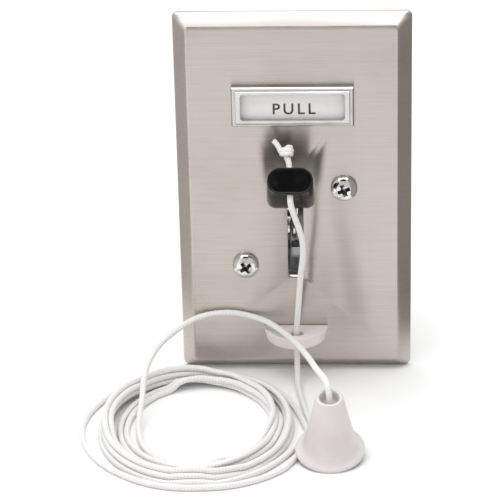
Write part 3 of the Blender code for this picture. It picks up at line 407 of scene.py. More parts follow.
def lay_down(line, laid, before):
    """Heights of a line that lies on the table and on what is laid already. It goes over other
    turns in long low humps, as a cord does that bends no tighter than its own slack allows."""
    thick = 2.04 * CORD_RADIUS
    tightest = 5.5 * MM
    slack = SPACING * SPACING / tightest
    heights = [p.z for p in before]
    for p in line:
        z = TABLE_Z + CORD_RADIUS
        for q in laid:
            gap = math.hypot(p.x - q.x, p.y - q.y)
            if gap < thick:
                z = max(z, q.z + math.sqrt(thick * thick - gap * gap))
        heights.append(z)
    for _ in range(40):
        for i in range(1, len(heights) - 1):
            heights[i] = max(heights[i], (heights[i - 1] + heights[i + 1] - slack) / 2)
            heights[i + 1] = max(heights[i + 1], 2 * heights[i] - heights[i - 1] - slack)
            heights[i - 1] = max(heights[i - 1], 2 * heights[i] - heights[i + 1] - slack)
    return [Vector((p.x, p.y, z)) for p, z in zip(before + line, heights)]


drop = smooth_through([Vector(p) * MM for p in DROP_ROUTE])
leaving = [BELL_FRAME @ Vector((0.0, 0.0, height * MM)) for height in (14.2, 16.6, 19.0)]
arch = smooth_through(leaving + [Vector(p) * MM for p in ARCH_ROUTE])
flat = coil_line()
coil = []
PORTION = 24                        # points laid at a time
NOT_LAID = 20                       # points behind them that they may still lift
for start in range(0, len(flat), PORTION):
    before = coil[-NOT_LAID:]
    laid = coil[:-NOT_LAID]
    coil = laid + lay_down(flat[start:start + PORTION], laid, before)

in_guide = Vector((*GUIDE_HOLE, -44.9)) * MM
free_points = evenly([in_guide] + drop[:-1] + coil + arch[::-1][1:], 1.9 * MM)
free_cord = cord_tube("pull_cord", free_points)
# The cord above and in the knob's hole: above the lever and across it, in millimetres.
IN_KNOB = [(7.6, -0.8), (4.4, -0.2), (0.0, 0.0), (-4.4, 0.0)]
run = [on_lever(KNOB_HOLE, above * MM, across * MM) for above, across in IN_KNOB]
run_points = evenly(smooth_through(run + [Vector(p) * MM for p in RUN_ROUTE], 1.0 * MM), 1.0 * MM)
upper_cord = cord_tube("pull_cord_upper", run_points)
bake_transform(upper_cord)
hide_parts("cord_run", "cord_in_knob")
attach(free_cord, "plate")
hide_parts("cord_drop", "cord_coil", "cord_arch")


def stopper_knot(name, frame_at, tail, body, node):
    """A knot of two round turns about the cord's own end, with the tail led out at one side."""
    line = [Vector((0.0, 0.0, -2.3)), Vector((0.0, 0.0, -1.0)), Vector((0.0, 0.0, 0.6)),
            Vector((0.25, 0.1, 1.5))]
    steps = 30
    for i in range(steps + 1):
        share = i / steps
        angle = 0.5 + share * math.tau * 2.1
        wide = 1.18 + 0.22 * math.sin(math.pi * share) + 0.08 * math.sin(5 * angle)
        height = 1.35 - 2.35 * share + 0.42 * math.sin(angle + 0.6)
        line.append(Vector((wide * math.cos(angle), wide * math.sin(angle), height)))
    drawn_tight = 0.78 * MM
    line = [frame_at @ (p * MM) for p in smooth_through(line + tail, 0.25)]
    knot = cord_tube(name, line, drawn_tight, 3)
    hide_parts(node)
    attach(knot, body)
    return knot


above_knob = Matrix.Translation(on_lever(KNOB_HOLE, 9.3 * MM, -1.1 * MM)) @ LEVER_UP
top_knot = stopper_knot("top_knot_tied", above_knob,
                        [Vector((-1.6, 0.6, 0.4)), Vector((-2.3, 0.5, 1.7)),
                         Vector((-3.1, 0.3, 2.9)), Vector((-3.9, 0.2, 3.7))],
                        "lever", "top_knot")
length_of(run_points)
bell_knot = stopper_knot("bell_knot_tied", BELL_FRAME @ Matrix.Translation((0.0, 0.0, 13.6 * MM)),
                         [Vector((-1.5, 0.6, -1.6)), Vector((-1.8, 0.4, -2.9)),
                          Vector((-1.6, 0.0, -4.3))],
                         "plate", "bell_knot")

# ---------------------------------------------------------
# Wall plate. One pressing of 0.9 mm stainless steel with sloped borders, brushed along its width.
# The lever slot is stamped through it, and two oval-head screws hold it to the strap behind.
PLATE_WIDTH = 69.85 * MM
PLATE_HEIGHT = 114.3 * MM
PLATE_DEPTH = 4.8 * MM
PLATE_SHEET = 0.9 * MM
PLATE_BORDER = 3.7 * MM
PLATE_LIP = 0.8 * MM
SLOT_X = 0.3 * MM
SLOT_WIDTH = 4.76 * MM
SLOT_BOTTOM = -26.0 * MM
SLOT_TOP = 4.8 * MM
# node: x, z, and how far its cross is turned, in radians
PLATE_SCREWS = {"plate_screw_upper": (14.85 * MM, 3.4 * MM, 0.35),
                "plate_screw_lower": (-14.85 * MM, -21.6 * MM, 0.62)}
IN_FRONT = -8 * MM                  # where every punch through the plate starts
TAB_X = 17.3 * MM
GUIDE_SCREW_HALF = 6.5 * MM
GUIDE_MIDDLE_Z = -43.7 * MM


def pick(piece, kind, wanted):
    """Open a piece for editing with its wanted faces or edges selected."""
    take(piece)
    bpy.ops.object.mode_set(mode="EDIT")
    bpy.ops.mesh.select_mode(type=kind)
    bpy.ops.mesh.select_all(action="DESELECT")
    cage = bmesh.from_edit_mesh(piece.data)
    for part in (cage.faces if kind == "FACE" else cage.edges):
        part.select_set(bool(wanted(part)))
    cage.select_flush_mode()
    bmesh.update_edit_mesh(piece.data)


def put_down():
    bpy.ops.object.mode_set(mode="OBJECT")


def round_off(piece, wanted, radius, segments):
    """Round the wanted edges of a piece."""
    pick(piece, "EDGE", wanted)
    bpy.ops.mesh.bevel(offset=radius, offset_type="OFFSET", segments=segments, profile=0.5)
    put_down()


def runs_back(edge):
    return abs(edge.verts[0].co.y - edge.verts[1].co.y) > 0.1 * MM


def middle(part):
    return sum((v.co for v in part.verts), Vector()) / len(part.verts)


def box(name, low, high):
    """A block between two corners, to be shaped."""
    low = Vector(low)
    high = Vector(high)
    bpy.ops.mesh.primitive_cube_add(size=1.0, location=(low + high) / 2)
    block = bpy.context.object
    block.name = name
    block.scale = high - low
    bpy.ops.object.transform_apply(location=True, rotation=True, scale=True)
    return block


def peg(name, radius, start, end, sides=40, tip=None):
    """A round bar or cone between two points, to be shaped or to cut with."""
    start = Vector(start)
    end = Vector(end)
    bpy.ops.mesh.primitive_cone_add(vertices=sides, radius1=radius,
                                    radius2=radius if tip is None else tip, depth=(end - start).length,
                                    location=(start + end) / 2,
                                    rotation=(end - start).to_track_quat("Z", "Y").to_euler())
    bpy.context.object.name = name
    bpy.ops.object.transform_apply(location=True, rotation=True, scale=True)
    return bpy.context.object


def join(piece, shape, operation="UNION"):
    """Join a shape to a piece, and throw the shape away."""
    take(piece)
    change = piece.modifiers.new("change", "BOOLEAN")
    change.operation = operation
    change.object = shape
    bpy.ops.object.modifier_apply(modifier=change.name)
    bpy.data.objects.remove(shape, do_unlink=True)


def bore(piece, *cutters):
    """Cut shapes out of a piece, and throw them away."""
    for cutter in cutters:
        join(piece, cutter, "DIFFERENCE")


def soften(piece, width, segments=3, angle=35.0):
    """Round a piece's sharp edges."""
    take(piece)
    edges = piece.modifiers.new("edges", "BEVEL")
    edges.width = width
    edges.segments = segments
    edges.limit_method = "ANGLE"
    edges.angle_limit = math.radians(angle)
    bpy.ops.object.modifier_apply(modifier=edges.name)


def dress(piece, name, finish):
    """Name a finished piece and give it its finish."""
    take(piece)
    bpy.ops.object.transform_apply(location=True, rotation=True, scale=True)
    piece.name = name
    piece.data.name = name
    piece.data.materials.clear()
    piece.data.materials.append(finish.material)


def fit(piece, name, finish, body, slot, *nodes, angle=32.0):
    """Finish a piece, put it on its body, and let it stand for its CAD nodes."""
    dress(piece, name, finish)
    bpy.ops.object.shade_smooth_by_angle(angle=math.radians(angle))
    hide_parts(*nodes)
    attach(piece, body)


def brushed_stainless():
    """Warm grey steel, brushed along X: fine and coarse scratches, faint smears and polish lines."""
    steel = Finish("brushed_stainless", (0.60, 0.545, 0.505), 0.30, 1.0,
                   Anisotropic=0.90, Anisotropic_Rotation=0.25)
    fine = steel.cloud(1.0, 3.0, stretch=(70.0, 900.0, 7000.0))
    coarse = steel.cloud(1.0, 2.0, stretch=(16.0, 300.0, 1600.0))
    smear = steel.cloud(38.0, 3.0)
    grain = fine * 0.8 + coarse * 0.2
    light = steel.tint((0.560, 0.507, 0.470), (0.640, 0.590, 0.550), grain.step(0.25, 0.75))
    dull = steel.tint((0.93, 0.90, 0.89), (1.0, 1.0, 1.0), smear.step(0.3, 0.6))
    steel.paint("Base Color", steel.stained(light, dull))
    steel.paint("Roughness", grain * 0.12 + smear * 0.10 + 0.19)
    steel.relief(grain, 0.02 * MM, 0.35)
    return steel


plate = box("plate", (-PLATE_WIDTH / 2, -PLATE_DEPTH, -PLATE_HEIGHT / 2),
            (PLATE_WIDTH / 2, -PLATE_LIP, PLATE_HEIGHT / 2))
pick(plate, "FACE", lambda f: f.normal.y < -0.9)
bpy.ops.transform.resize(value=(1 - 2 * PLATE_BORDER / PLATE_WIDTH, 1.0,
                                1 - 2 * PLATE_BORDER / PLATE_HEIGHT),
                         center_override=(0.0, -PLATE_DEPTH, 0.0))
put_down()
pick(plate, "FACE", lambda f: f.normal.y > 0.9)
bpy.ops.mesh.delete(type="ONLY_FACE")
put_down()
pick(plate, "EDGE", lambda e: e.is_boundary)
bpy.ops.mesh.extrude_edges_move(TRANSFORM_OT_translate={"value": (0.0, PLATE_LIP, 0.0)})
put_down()
round_off(plate, runs_back, 1.6 * MM, 6)
pick(plate, "FACE", lambda f: True)
bpy.ops.mesh.normals_make_consistent(inside=False)
put_down()
soften(plate, 1.3 * MM, 6, 20.0)
take(plate)
sheet = plate.modifiers.new("sheet", "SOLIDIFY")
sheet.thickness = PLATE_SHEET
sheet.offset = -1.0
sheet.use_even_offset = True
bpy.ops.object.modifier_apply(modifier=sheet.name)
punch = box("slot_punch", (SLOT_X - SLOT_WIDTH / 2, IN_FRONT, SLOT_BOTTOM),
            (SLOT_X + SLOT_WIDTH / 2, 0.0, SLOT_TOP))
round_off(punch, runs_back, 1.3 * MM, 6)
punches = [punch]
for x, z, _ in PLATE_SCREWS.values():
    punches.append(peg("screw_punch", 2.3 * MM, (x, IN_FRONT, z), (x, 0.0, z)))
for side in (-1, 1):
    x = side * GUIDE_SCREW_HALF
    z = GUIDE_MIDDLE_Z
    punches.append(peg("guide_punch", 1.3 * MM, (x, IN_FRONT, z), (x, 0.0, z), 24))
    x = side * TAB_X
    low, high = (x - 0.6 * MM, IN_FRONT, 27.6 * MM), (x + 0.6 * MM, 0.0, 32.0 * MM)
    punches.append(box("tab_punch", low, high))
bore(plate, *punches)


def on_slot_rim(edge):
    """Whether an edge is where the slot's wall meets the plate's face."""
    near = 0.02 * MM
    return (all(abs(v.co.y + PLATE_DEPTH) < 0.01 * MM and abs(v.co.x - SLOT_X) < SLOT_WIDTH / 2 + near
                and SLOT_BOTTOM - near < v.co.z < SLOT_TOP + near for v in edge.verts)
            and len(edge.link_faces) == 2 and edge.calc_face_angle(0.0) > 1.0)


round_off(plate, on_slot_rim, 0.16 * MM, 2)
fit(plate, "wall_plate_pressing", brushed_stainless(), "plate", "stainless", "wall_plate", angle=28.0)

# ---------------------------------------------------------
# Label holder. A chromed bezel with a stepped front, its two tabs held by spring clips behind the
# plate. It holds a printed card under a clear window, which shows one plain word.
LABEL_Z = 29.8 * MM
BEZEL = (36.0 * MM, 12.2 * MM)
BEZEL_BACK = -5.1 * MM
BEZEL_FRONT = -6.6 * MM              # of its rim, from which the steps rise
OPENING = (30.6 * MM, 8.1 * MM)
RECESS = (33.2 * MM, 9.4 * MM)
CARD = (32.6 * MM, 8.8 * MM)
PANE = (30.0 * MM, 7.5 * MM)
# The bezel's stepped front from its rim inwards: width of each step, then its move along Y.
BEZEL_STEPS = [(0.45, -0.55), (0.30, 0.0), (0.14, 0.22), (0.22, 0.0), (0.25, -0.57), (0.55, 0.12)]


def label_block(name, size, front, back, corner=0.0, segments=5):
    """A block about the label's middle, with its four corners rounded."""
    wide, high = size
    block = box(name, (-wide / 2, front, LABEL_Z - high / 2), (wide / 2, back, LABEL_Z + high / 2))
    if corner:
        round_off(block, runs_back, corner, segments)
    return block


def chromed(name, tone=0.70, rough=0.07):
    """Bright plating: even colour, a faint haze and hairline wiping marks."""
    chrome = Finish(name, (tone, tone * 0.995, tone * 0.985), rough, 1.0)
    haze = chrome.cloud(160.0, 4.0)
    wiped = chrome.cloud(1.0, 2.0, stretch=(350.0, 350.0, 2600.0))
    dull = (tone * 0.90, tone * 0.88, tone * 0.865)
    chrome.colour(dull, (tone, tone * 0.985, tone * 0.965), haze.step(0.3, 0.6))
    chrome.paint("Roughness", haze * 0.10 + wiped * 0.05 + rough * 0.5)
    chrome.relief(wiped, 0.006 * MM, 0.3)
    return chrome


bezel = label_block("bezel", BEZEL, BEZEL_FRONT, BEZEL_BACK)
pick(bezel, "FACE", lambda f: f.normal.y < -0.9)
for width, move in BEZEL_STEPS:
    bpy.ops.mesh.inset(thickness=width * MM)
    bpy.ops.transform.translate(value=(0.0, move * MM, 0.0))
put_down()
opening = label_block("opening", OPENING, -9 * MM, -4 * MM, 0.9 * MM)
bore(bezel, label_block("recess", RECESS, -6.4 * MM, -4 * MM), opening)
for side in (-1, 1):
    x = side * TAB_X
    join(bezel, box("tab", (x - 0.5 * MM, -5.6 * MM, 27.8 * MM), (x + 0.5 * MM, -2.2 * MM, 31.8 * MM)))
soften(bezel, 0.10 * MM, 3, 28.0)
fit(bezel, "label_bezel_frame", chromed("bezel_chrome", 0.66, 0.05), "plate", "chrome", "label_bezel",
    angle=40.0)

card = label_block("card", CARD, -5.45 * MM, -5.1 * MM, 0.5 * MM, 3)
paper = Finish("label_card_stock", (0.80, 0.80, 0.81), 0.62)
fibre = paper.cloud(2600.0, 3.0)
cloudy = paper.cloud(60.0, 2.0)
paper.colour((0.80, 0.775, 0.765), (0.90, 0.875, 0.865), fibre * 0.5 + cloudy * 0.5)
paper.relief(fibre, 0.01 * MM, 0.3)
fit(card, "label_card_sheet", paper, "plate", "card", "label_card")

bpy.ops.object.text_add(location=(0.0, 0.0, 0.0))
word = bpy.context.object
word.data.body = "PULL"
word.data.size = 4.7 * MM
word.data.space_character = 1.35
word.data.align_x = "CENTER"
word.data.align_y = "CENTER"
word.data.extrude = 0.02 * MM
word.data.offset = 0.07 * MM
word.data.resolution_u = 6
bpy.ops.object.convert(target="MESH")
word = bpy.context.object
on_card = Matrix.Translation((0.3 * MM, -5.48 * MM, LABEL_Z - 1.25 * MM))
word.matrix_world = on_card @ Matrix.Rotation(math.pi / 2, 4, "X")
ink = Finish("printed_black", (0.035, 0.033, 0.036), 0.45)
ink.colour((0.012, 0.012, 0.013), (0.035, 0.033, 0.034), ink.cloud(900.0, 3.0))
dress(word, "label_word", ink)
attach(word, "plate")

window = label_block("window", CARD, -6.15 * MM, -5.75 * MM)
pane = label_block("pane", PANE, -7.2 * MM, -5.9 * MM, 0.8 * MM)
pick(pane, "FACE", lambda f: f.normal.y < -0.9)
bpy.ops.mesh.inset(thickness=0.35 * MM)
bpy.ops.transform.translate(value=(0.0, -0.1 * MM, 0.0))
put_down()
join(window, pane)
soften(window, 0.06 * MM, 2, 25.0)
clear = Finish("clear_acrylic", (0.93, 0.94, 0.95), 0.06, IOR=1.49)
dust = clear.cloud(420.0, 4.0)
clear.paint("Alpha", dust.step(0.55, 0.80) * 0.04 + 0.015)
clear.paint("Roughness", dust * 0.10 + 0.03)
fit(window, "label_window_pane", clear, "plate", "clear", "label_window", angle=20.0)

# ---------------------------------------------------------
# Screws. The plate is held by two nickel-plated oval-head cross-recess screws; the strap, frame,
# contact stack, spring and guide by zinc-plated slotted ones. All are turned, with rolled threads.


def close_ends():
    """Fill the open ends of the piece that is being edited, and put it down."""
    bpy.ops.mesh.select_mode(type="VERT")
    bpy.ops.mesh.select_all(action="DESELECT")
    bpy.ops.mesh.select_non_manifold()
    bpy.ops.mesh.fill_holes(sides=0)
    bpy.ops.mesh.select_all(action="SELECT")
    bpy.ops.mesh.normals_make_consistent(inside=False)
    put_down()


def turned(name, profile, sides=48):
    """A piece turned about Z: a circle drawn out and resized from ring to ring of a profile."""
    first_radius, first_height = profile[0]
    bpy.ops.mesh.primitive_circle_add(vertices=sides, radius=first_radius,
                                      location=(0.0, 0.0, first_height))
    piece = bpy.context.object
    piece.name = name
    bpy.ops.object.transform_apply(location=True, rotation=True, scale=True)
    bpy.ops.object.mode_set(mode="EDIT")
    bpy.ops.mesh.select_all(action="SELECT")
    for (r0, z0), (r1, z1) in zip(profile, profile[1:]):
        bpy.ops.mesh.extrude_edges_move(TRANSFORM_OT_translate={"value": (0.0, 0.0, z1 - z0)})
        bpy.ops.transform.resize(value=(r1 / r0, r1 / r0, 1.0), center_override=(0.0, 0.0, z1))
    bpy.ops.mesh.select_all(action="SELECT")
    bpy.ops.mesh.remove_doubles(threshold=0.002 * MM)
    close_ends()
    return piece


def screw(head, length, shank, pitch, domed=True):
    """A screw along -Z with its head's underside at z = 0, from (radius, height) of its head."""
    radius, height = head
    profile = [(0.05 * MM, -length), (shank * 0.55, -length + 0.05 * MM)]
    z = -length + 0.4 * MM
    while z < -pitch * 1.2:
        profile += [(shank * 0.80, z), (shank, z + pitch * 0.38), (shank, z + pitch * 0.5)]
        z += pitch
    profile += [(shank * 0.85, -pitch * 0.6), (shank * 0.85, -0.01 * MM), (radius * 0.94, 0.0)]
    if domed:
        dome = [(0.99, 0.08), (1.0, 0.18), (0.985, 0.30), (0.93, 0.47), (0.83, 0.64), (0.69, 0.79),
                (0.50, 0.91), (0.27, 0.98), (0.02, 1.0)]
    else:
        dome = [(1.0, 0.08), (1.0, 0.62), (0.96, 0.80), (0.86, 0.93), (0.66, 1.0), (0.02, 1.0)]
    profile += [(radius * wide, height * high) for wide, high in dome]
    return turned("screw", profile)


def cross_recess(piece, reach, depth, height):
    """A tapered cross sunk into a screw's head."""
    for turn in (0.0, math.pi / 2):
        arm = box("arm", (-reach, -0.75 * MM, height - depth), (reach, 0.75 * MM, height + 1 * MM))
        pick(arm, "FACE", lambda f: f.normal.z < -0.9)
        bpy.ops.transform.resize(value=(0.30, 0.45, 1.0), center_override=(0.0, 0.0, height - depth))
        put_down()
        arm.matrix_world = Matrix.Rotation(turn, 4, "Z")
        bore(piece, arm)
    point = (0.0, 0.0, height - depth - 0.5 * MM)
    bore(piece, peg("point", 0.25 * MM, point, (0.0, 0.0, height), 24, 1.05 * MM))


def slot_recess(piece, reach, wide, depth, height):
    """A straight driver slot across a screw's head."""
    bore(piece, box("slot", (-reach, -wide / 2, height - depth), (reach, wide / 2, height + 1 * MM)))


def nickel_plated():
    """Polished nickel with hairline scratches, duller in patches. The dark in the screws' cross recesses
    is painted shade, from a finish of its own.
    """
    nickel = Finish("nickel_plate", (0.78, 0.77, 0.74), 0.13, 1.0)
    worn = nickel.cloud(700.0, 4.0)
    patch = nickel.cloud(150.0, 2.0)
    nickel.colour((0.66, 0.65, 0.62), (0.80, 0.79, 0.765), patch.step(0.3, 0.55))
    nickel.paint("Roughness", worn * 0.14 + 0.06)
    nickel.relief(worn, 0.012 * MM, 0.35)
    return nickel


def zinc_plated(name, blue=0.02):
    """Dull bluish zinc on steel: cloudy patches of passivation over a fine rolled grain."""
    zinc = Finish(name, (0.58, 0.60, 0.62), 0.36, 1.0)
    cloudy = zinc.cloud(130.0, 4.0)
    grain = zinc.cloud(1.0, 3.0, stretch=(900.0, 2600.0, 350.0))
    share = cloudy.step(0.30, 0.62)
    zinc.colour((0.47, 0.48, 0.48 + blue), (0.64, 0.64, 0.62), share)
    zinc.paint("Roughness", cloudy * 0.22 + grain * 0.10 + 0.20)
    zinc.relief(grain, 0.02 * MM, 0.4)
    return zinc


nickel = nickel_plated()
# Painted shade for the screws' cross recesses: a near-black finish with a mottle.
painted_recess_shade = Finish("recess_painted_shade", (0.10, 0.095, 0.09), 0.55, 0.8)
shade_mottle = painted_recess_shade.cloud(800.0, 3.0)
painted_recess_shade.colour((0.03, 0.028, 0.026), (0.20, 0.19, 0.18), shade_mottle.step(0.3, 0.75))
painted_recess_shade.relief(shade_mottle, 0.02 * MM, 0.4)
OVAL_HEAD = (4.0 * MM, 2.4 * MM)
OVAL_SEAT = -5.1 * MM
for node, (x, z, turn) in PLATE_SCREWS.items():
    piece = screw(OVAL_HEAD, length=9.0 * MM, shank=1.95 * MM, pitch=0.8 * MM)
    cross_recess(piece, reach=2.7 * MM, depth=2.0 * MM, height=OVAL_HEAD[1])
    soften(piece, 0.05 * MM, 2, 38.0)
    placed = (Matrix.Translation((x, OVAL_SEAT, z)) @ Matrix.Rotation(math.pi / 2, 4, "X")
              @ Matrix.Rotation(turn, 4, "Z"))
    piece.matrix_world = placed
    fit(piece, node.replace("plate_", "oval_"), nickel, "plate", "nickel", node, angle=40.0)
    # The faces sunk in the cross recess take the painted shade finish.
    piece.data.materials.append(painted_recess_shade.material)
    for face in piece.data.polygons:
        spot = placed.inverted() @ face.center
        sunk = 0.2 * MM < spot.z < 1.75 * MM and math.hypot(spot.x, spot.y) < 2.8 * MM
        face.material_index = 1 if sunk else 0

zinc = zinc_plated("zinc_screws")
FACING = Matrix.Rotation(math.pi / 2, 4, "X")
BACKWARD = FACING.inverted()
UPWARD = Matrix.Identity(4)
# node: head radius and height, length, shank radius and pitch in millimetres, then the way its
# head faces and its turn about its own line
SMALL_SCREWS = {
    "box_screw_upper": ((3.4, 1.7, 19.0, 1.65, 0.8), FACING, 0.4),
    "box_screw_lower": ((3.4, 1.7, 19.0, 1.65, 0.8), FACING, 1.3),
    "frame_screw_upper": ((2.8, 1.5, 5.0, 1.35, 0.6), FACING, 0.9),
    "frame_screw_lower": ((2.8, 1.5, 5.0, 1.35, 0.6), FACING, 2.1),
    "guide_screw_left": ((2.0, 1.1, 7.6, 0.95, 0.5), BACKWARD, 0.3),
    "guide_screw_right": ((2.0, 1.1, 7.6, 0.95, 0.5), BACKWARD, 1.8),
    "stack_screw_front": ((1.9, 1.5, 14.6, 0.95, 0.5), UPWARD, 0.5),
    "stack_screw_rear": ((1.9, 1.5, 14.6, 0.95, 0.5), UPWARD, 2.0),
    "detent_screw": ((1.9, 1.3, 3.4, 0.95, 0.5), UPWARD, 1.1),
}
for node, (sizes, facing, turn) in SMALL_SCREWS.items():
    radius, height, long, shank, pitch = (size * MM for size in sizes)
    piece = screw((radius, height), long, shank, pitch, domed=False)
    slot_recess(piece, radius * 1.2, radius * 0.26, height * 0.55, height)
    soften(piece, 0.04 * MM, 2, 40.0)
    low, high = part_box(node)
    seat = (low + high) / 2                 # then moved to under the head
    along = facing @ Vector((0.0, 0.0, 1.0))
    for axis in range(3):
        if abs(along[axis]) > 0.5:
            top = high[axis] if along[axis] > 0 else low[axis]
            seat[axis] = top - along[axis] * height
    piece.matrix_world = Matrix.Translation(seat) @ facing @ Matrix.Rotation(turn, 4, "Z")
    fit(piece, node + "_turned", zinc, "plate", "zinc_steel", node, angle=40.0)

# ---------------------------------------------------------
# Lever and knob. The lever is a flat 1.5 mm chromed steel blade that turns on the pivot pin. The
# knob is glossy black moulded plastic, pushed onto the blade's end and drilled across for the cord.


def refined(node, edge, segments=2, angle=32.0):
    """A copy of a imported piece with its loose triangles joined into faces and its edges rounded."""
    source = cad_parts[node]
    copy = source.copy()
    copy.data = source.data.copy()
    for key in list(copy.keys()):
        if key.startswith("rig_"):
            del copy[key]
    copy.parent = None
    copy.matrix_world = Matrix.Identity(4)
    bpy.context.scene.collection.objects.link(copy)
    take(copy)
    bpy.ops.object.mode_set(mode="EDIT")
    bpy.ops.mesh.select_all(action="SELECT")
    bpy.ops.mesh.remove_doubles(threshold=0.001 * MM)
    bpy.ops.mesh.dissolve_limited(angle_limit=math.radians(1.0))
    put_down()
    if edge:
        soften(copy, edge, segments, angle)
    return copy


blade = refined("lever", 0.32 * MM, 3)
fit(blade, "lever_blade", chromed("lever_chrome", 0.74, 0.12), "lever", "chrome", "lever")


def rounded_oblong(angle, wide, high, corner):
    """A point on an oblong with round corners, at an angle round its middle."""
    c = math.cos(angle)
    s = math.sin(angle)
    return (math.copysign(wide / 2 - corner, c) + corner * c,
            math.copysign(high / 2 - corner, s) + corner * s)


# Stations up the knob in millimetres: reach along the lever, width, height, corner radius.
KNOB = [(33.05, 12.8, 8.0, 2.0), (32.9, 13.4, 8.6, 2.2), (33.0, 13.9, 9.1, 2.4),
        (33.3, 14.25, 9.45, 2.6), (33.9, 14.4, 9.6, 2.7), (36.0, 14.3, 9.45, 2.7),
        (39.5, 14.05, 9.05, 2.8), (42.2, 13.8, 8.6, 3.1),
        (44.0, 13.55, 8.25, 3.6), (44.85, 13.40, 8.10, 3.85), (45.14, 13.30, 8.00, 3.85),
        (45.32, 13.14, 7.84, 3.8), (45.40, 12.94, 7.64, 3.7), (45.36, 12.76, 7.46, 3.62),
        (45.24, 12.64, 7.34, 3.56),
        (45.15, 12.46, 7.16, 3.48), (45.13, 12.24, 6.94, 3.40), (45.12, 9.0, 3.7, 1.84)]
KNOB_SIDES = 72
CORD_HOLE = 1.2 * MM
SOCKET = (1.05 * MM, 2.8 * MM)      # half its width and height
SOCKET_END = 39.3 * MM              # along the lever from its pivot
bpy.ops.mesh.primitive_circle_add(vertices=KNOB_SIDES, radius=5 * MM)
knob = bpy.context.object
bpy.ops.object.mode_set(mode="EDIT")
for i, (reach, wide, high, corner) in enumerate(KNOB):
    if i:
        bpy.ops.mesh.extrude_edges_move()
    cage = bmesh.from_edit_mesh(knob.data)
    ring = [v for v in cage.verts if v.select]
    for v in ring:
        angle = math.atan2(v.co.y, v.co.x) if i == 0 else angles[tuple(round(c, 9) for c in v.co)]
        x, y = rounded_oblong(angle, wide, high, corner)
        v.co = Vector((x, y, reach)) * MM
        v.index = round(angle * 1e6)
    angles = {tuple(round(c, 9) for c in v.co): v.index / 1e6 for v in ring}
    bmesh.update_edit_mesh(knob.data)
close_ends()
bore(knob, peg("cord_hole", CORD_HOLE, (0.0, -6 * MM, KNOB_HOLE), (0.0, 6 * MM, KNOB_HOLE)),
     box("socket", (-SOCKET[0], -SOCKET[1], 31 * MM), (*SOCKET, SOCKET_END)))
soften(knob, 0.22 * MM, 3, 50.0)
knob.matrix_world = Matrix.Translation(LEVER_AXIS) @ LEVER_TURN
gloss = Finish("glossy_black_moulding", (0.005, 0.005, 0.005), 0.10,
               Coat_Roughness=0.04, Specular_IOR_Level=0.22)
handled = gloss.cloud(240.0, 4.0)
scuffs = gloss.cloud(1.0, 3.0, stretch=(1500.0, 400.0, 900.0))
gloss.colour((0.004, 0.004, 0.004), (0.010, 0.010, 0.010), handled.step(0.45, 0.75))
gloss.paint("Roughness", handled * 0.16 + scuffs * 0.05 + 0.06)
gloss.paint("Coat Weight", scuffs.step(0.2, 0.6) * 0.15 + 0.10)
gloss.relief(handled, 0.015 * MM, 0.25)
fit(knob, "knob_moulding", gloss, "lever", "black_plastic", "knob", angle=38.0)

# ---------------------------------------------------------
# Cord guide and pull bell. Both are moulded in soft white plastic with a satin skin. The guide is a
# half-round shelf drawn tight to the plate, with one hole. The bell is thin-walled with a flared
# base, and is recessed at the top for the cord.


def white_moulding(name, light=1.0):
    """Faintly warm white plastic: cloudy colour, fine moulded texture and a little handling dirt. The
    light factor scales all its colours, as painted light.
    """
    dark, even, pale = (tuple(part * light for part in colour) for colour in
                        ((0.655, 0.600, 0.590), (0.69, 0.64, 0.63), (0.715, 0.670, 0.660)))
    white = Finish(name, even, 0.36, Subsurface_Weight=0.03, Subsurface_Scale=0.8 * MM, IOR=1.50)
    cloudy = white.cloud(90.0, 3.0)
    texture = white.cloud(3000.0, 2.0)
    specks = white.cloud(620.0, 4.0)
    body = white.tint(dark, pale, cloudy.step(0.3, 0.7))
    dirt = white.tint((0.70, 0.66, 0.62), (1.0, 1.0, 1.0), specks.step(0.22, 0.34))
    white.paint("Base Color", white.stained(body, dirt, 0.55))
    white.paint("Roughness", cloudy * 0.12 + texture * 0.10 + 0.28)
    white.relief(texture, 0.015 * MM, 0.35)
    return white


GUIDE_TOP = -41.6 * MM
GUIDE_BACK = -5.1 * MM
GUIDE_HALF_WIDTH = 9.75 * MM
GUIDE_REACH = 10.0 * MM
GUIDE_THICK = 4.2 * MM
GUIDE_TAPER = 0.90
bpy.ops.mesh.primitive_circle_add(vertices=96, radius=1.0, fill_type="NGON",
                                  location=(0.0, GUIDE_BACK, GUIDE_TOP))
guide = bpy.context.object
guide.scale = (GUIDE_HALF_WIDTH, GUIDE_REACH, 1.0)
bpy.ops.object.transform_apply(location=True, rotation=True, scale=True)
bpy.ops.object.mode_set(mode="EDIT")
bpy.ops.mesh.select_all(action="SELECT")
bpy.ops.mesh.bisect(plane_co=(0.0, GUIDE_BACK, GUIDE_TOP), plane_no=(0.0, 1.0, 0.0), clear_outer=True)
bpy.ops.mesh.select_all(action="SELECT")
bpy.ops.mesh.extrude_region_move(TRANSFORM_OT_translate={"value": (0.0, 0.0, -GUIDE_THICK)})
bpy.ops.transform.resize(value=(GUIDE_TAPER, GUIDE_TAPER, 1.0),
                         center_override=(0.0, GUIDE_BACK, GUIDE_TOP - GUIDE_THICK))
bpy.ops.mesh.select_all(action="SELECT")
bpy.ops.mesh.normals_make_consistent(inside=False)
put_down()


def off_the_plate(edge):
    return middle(edge).y < GUIDE_BACK - 0.1 * MM


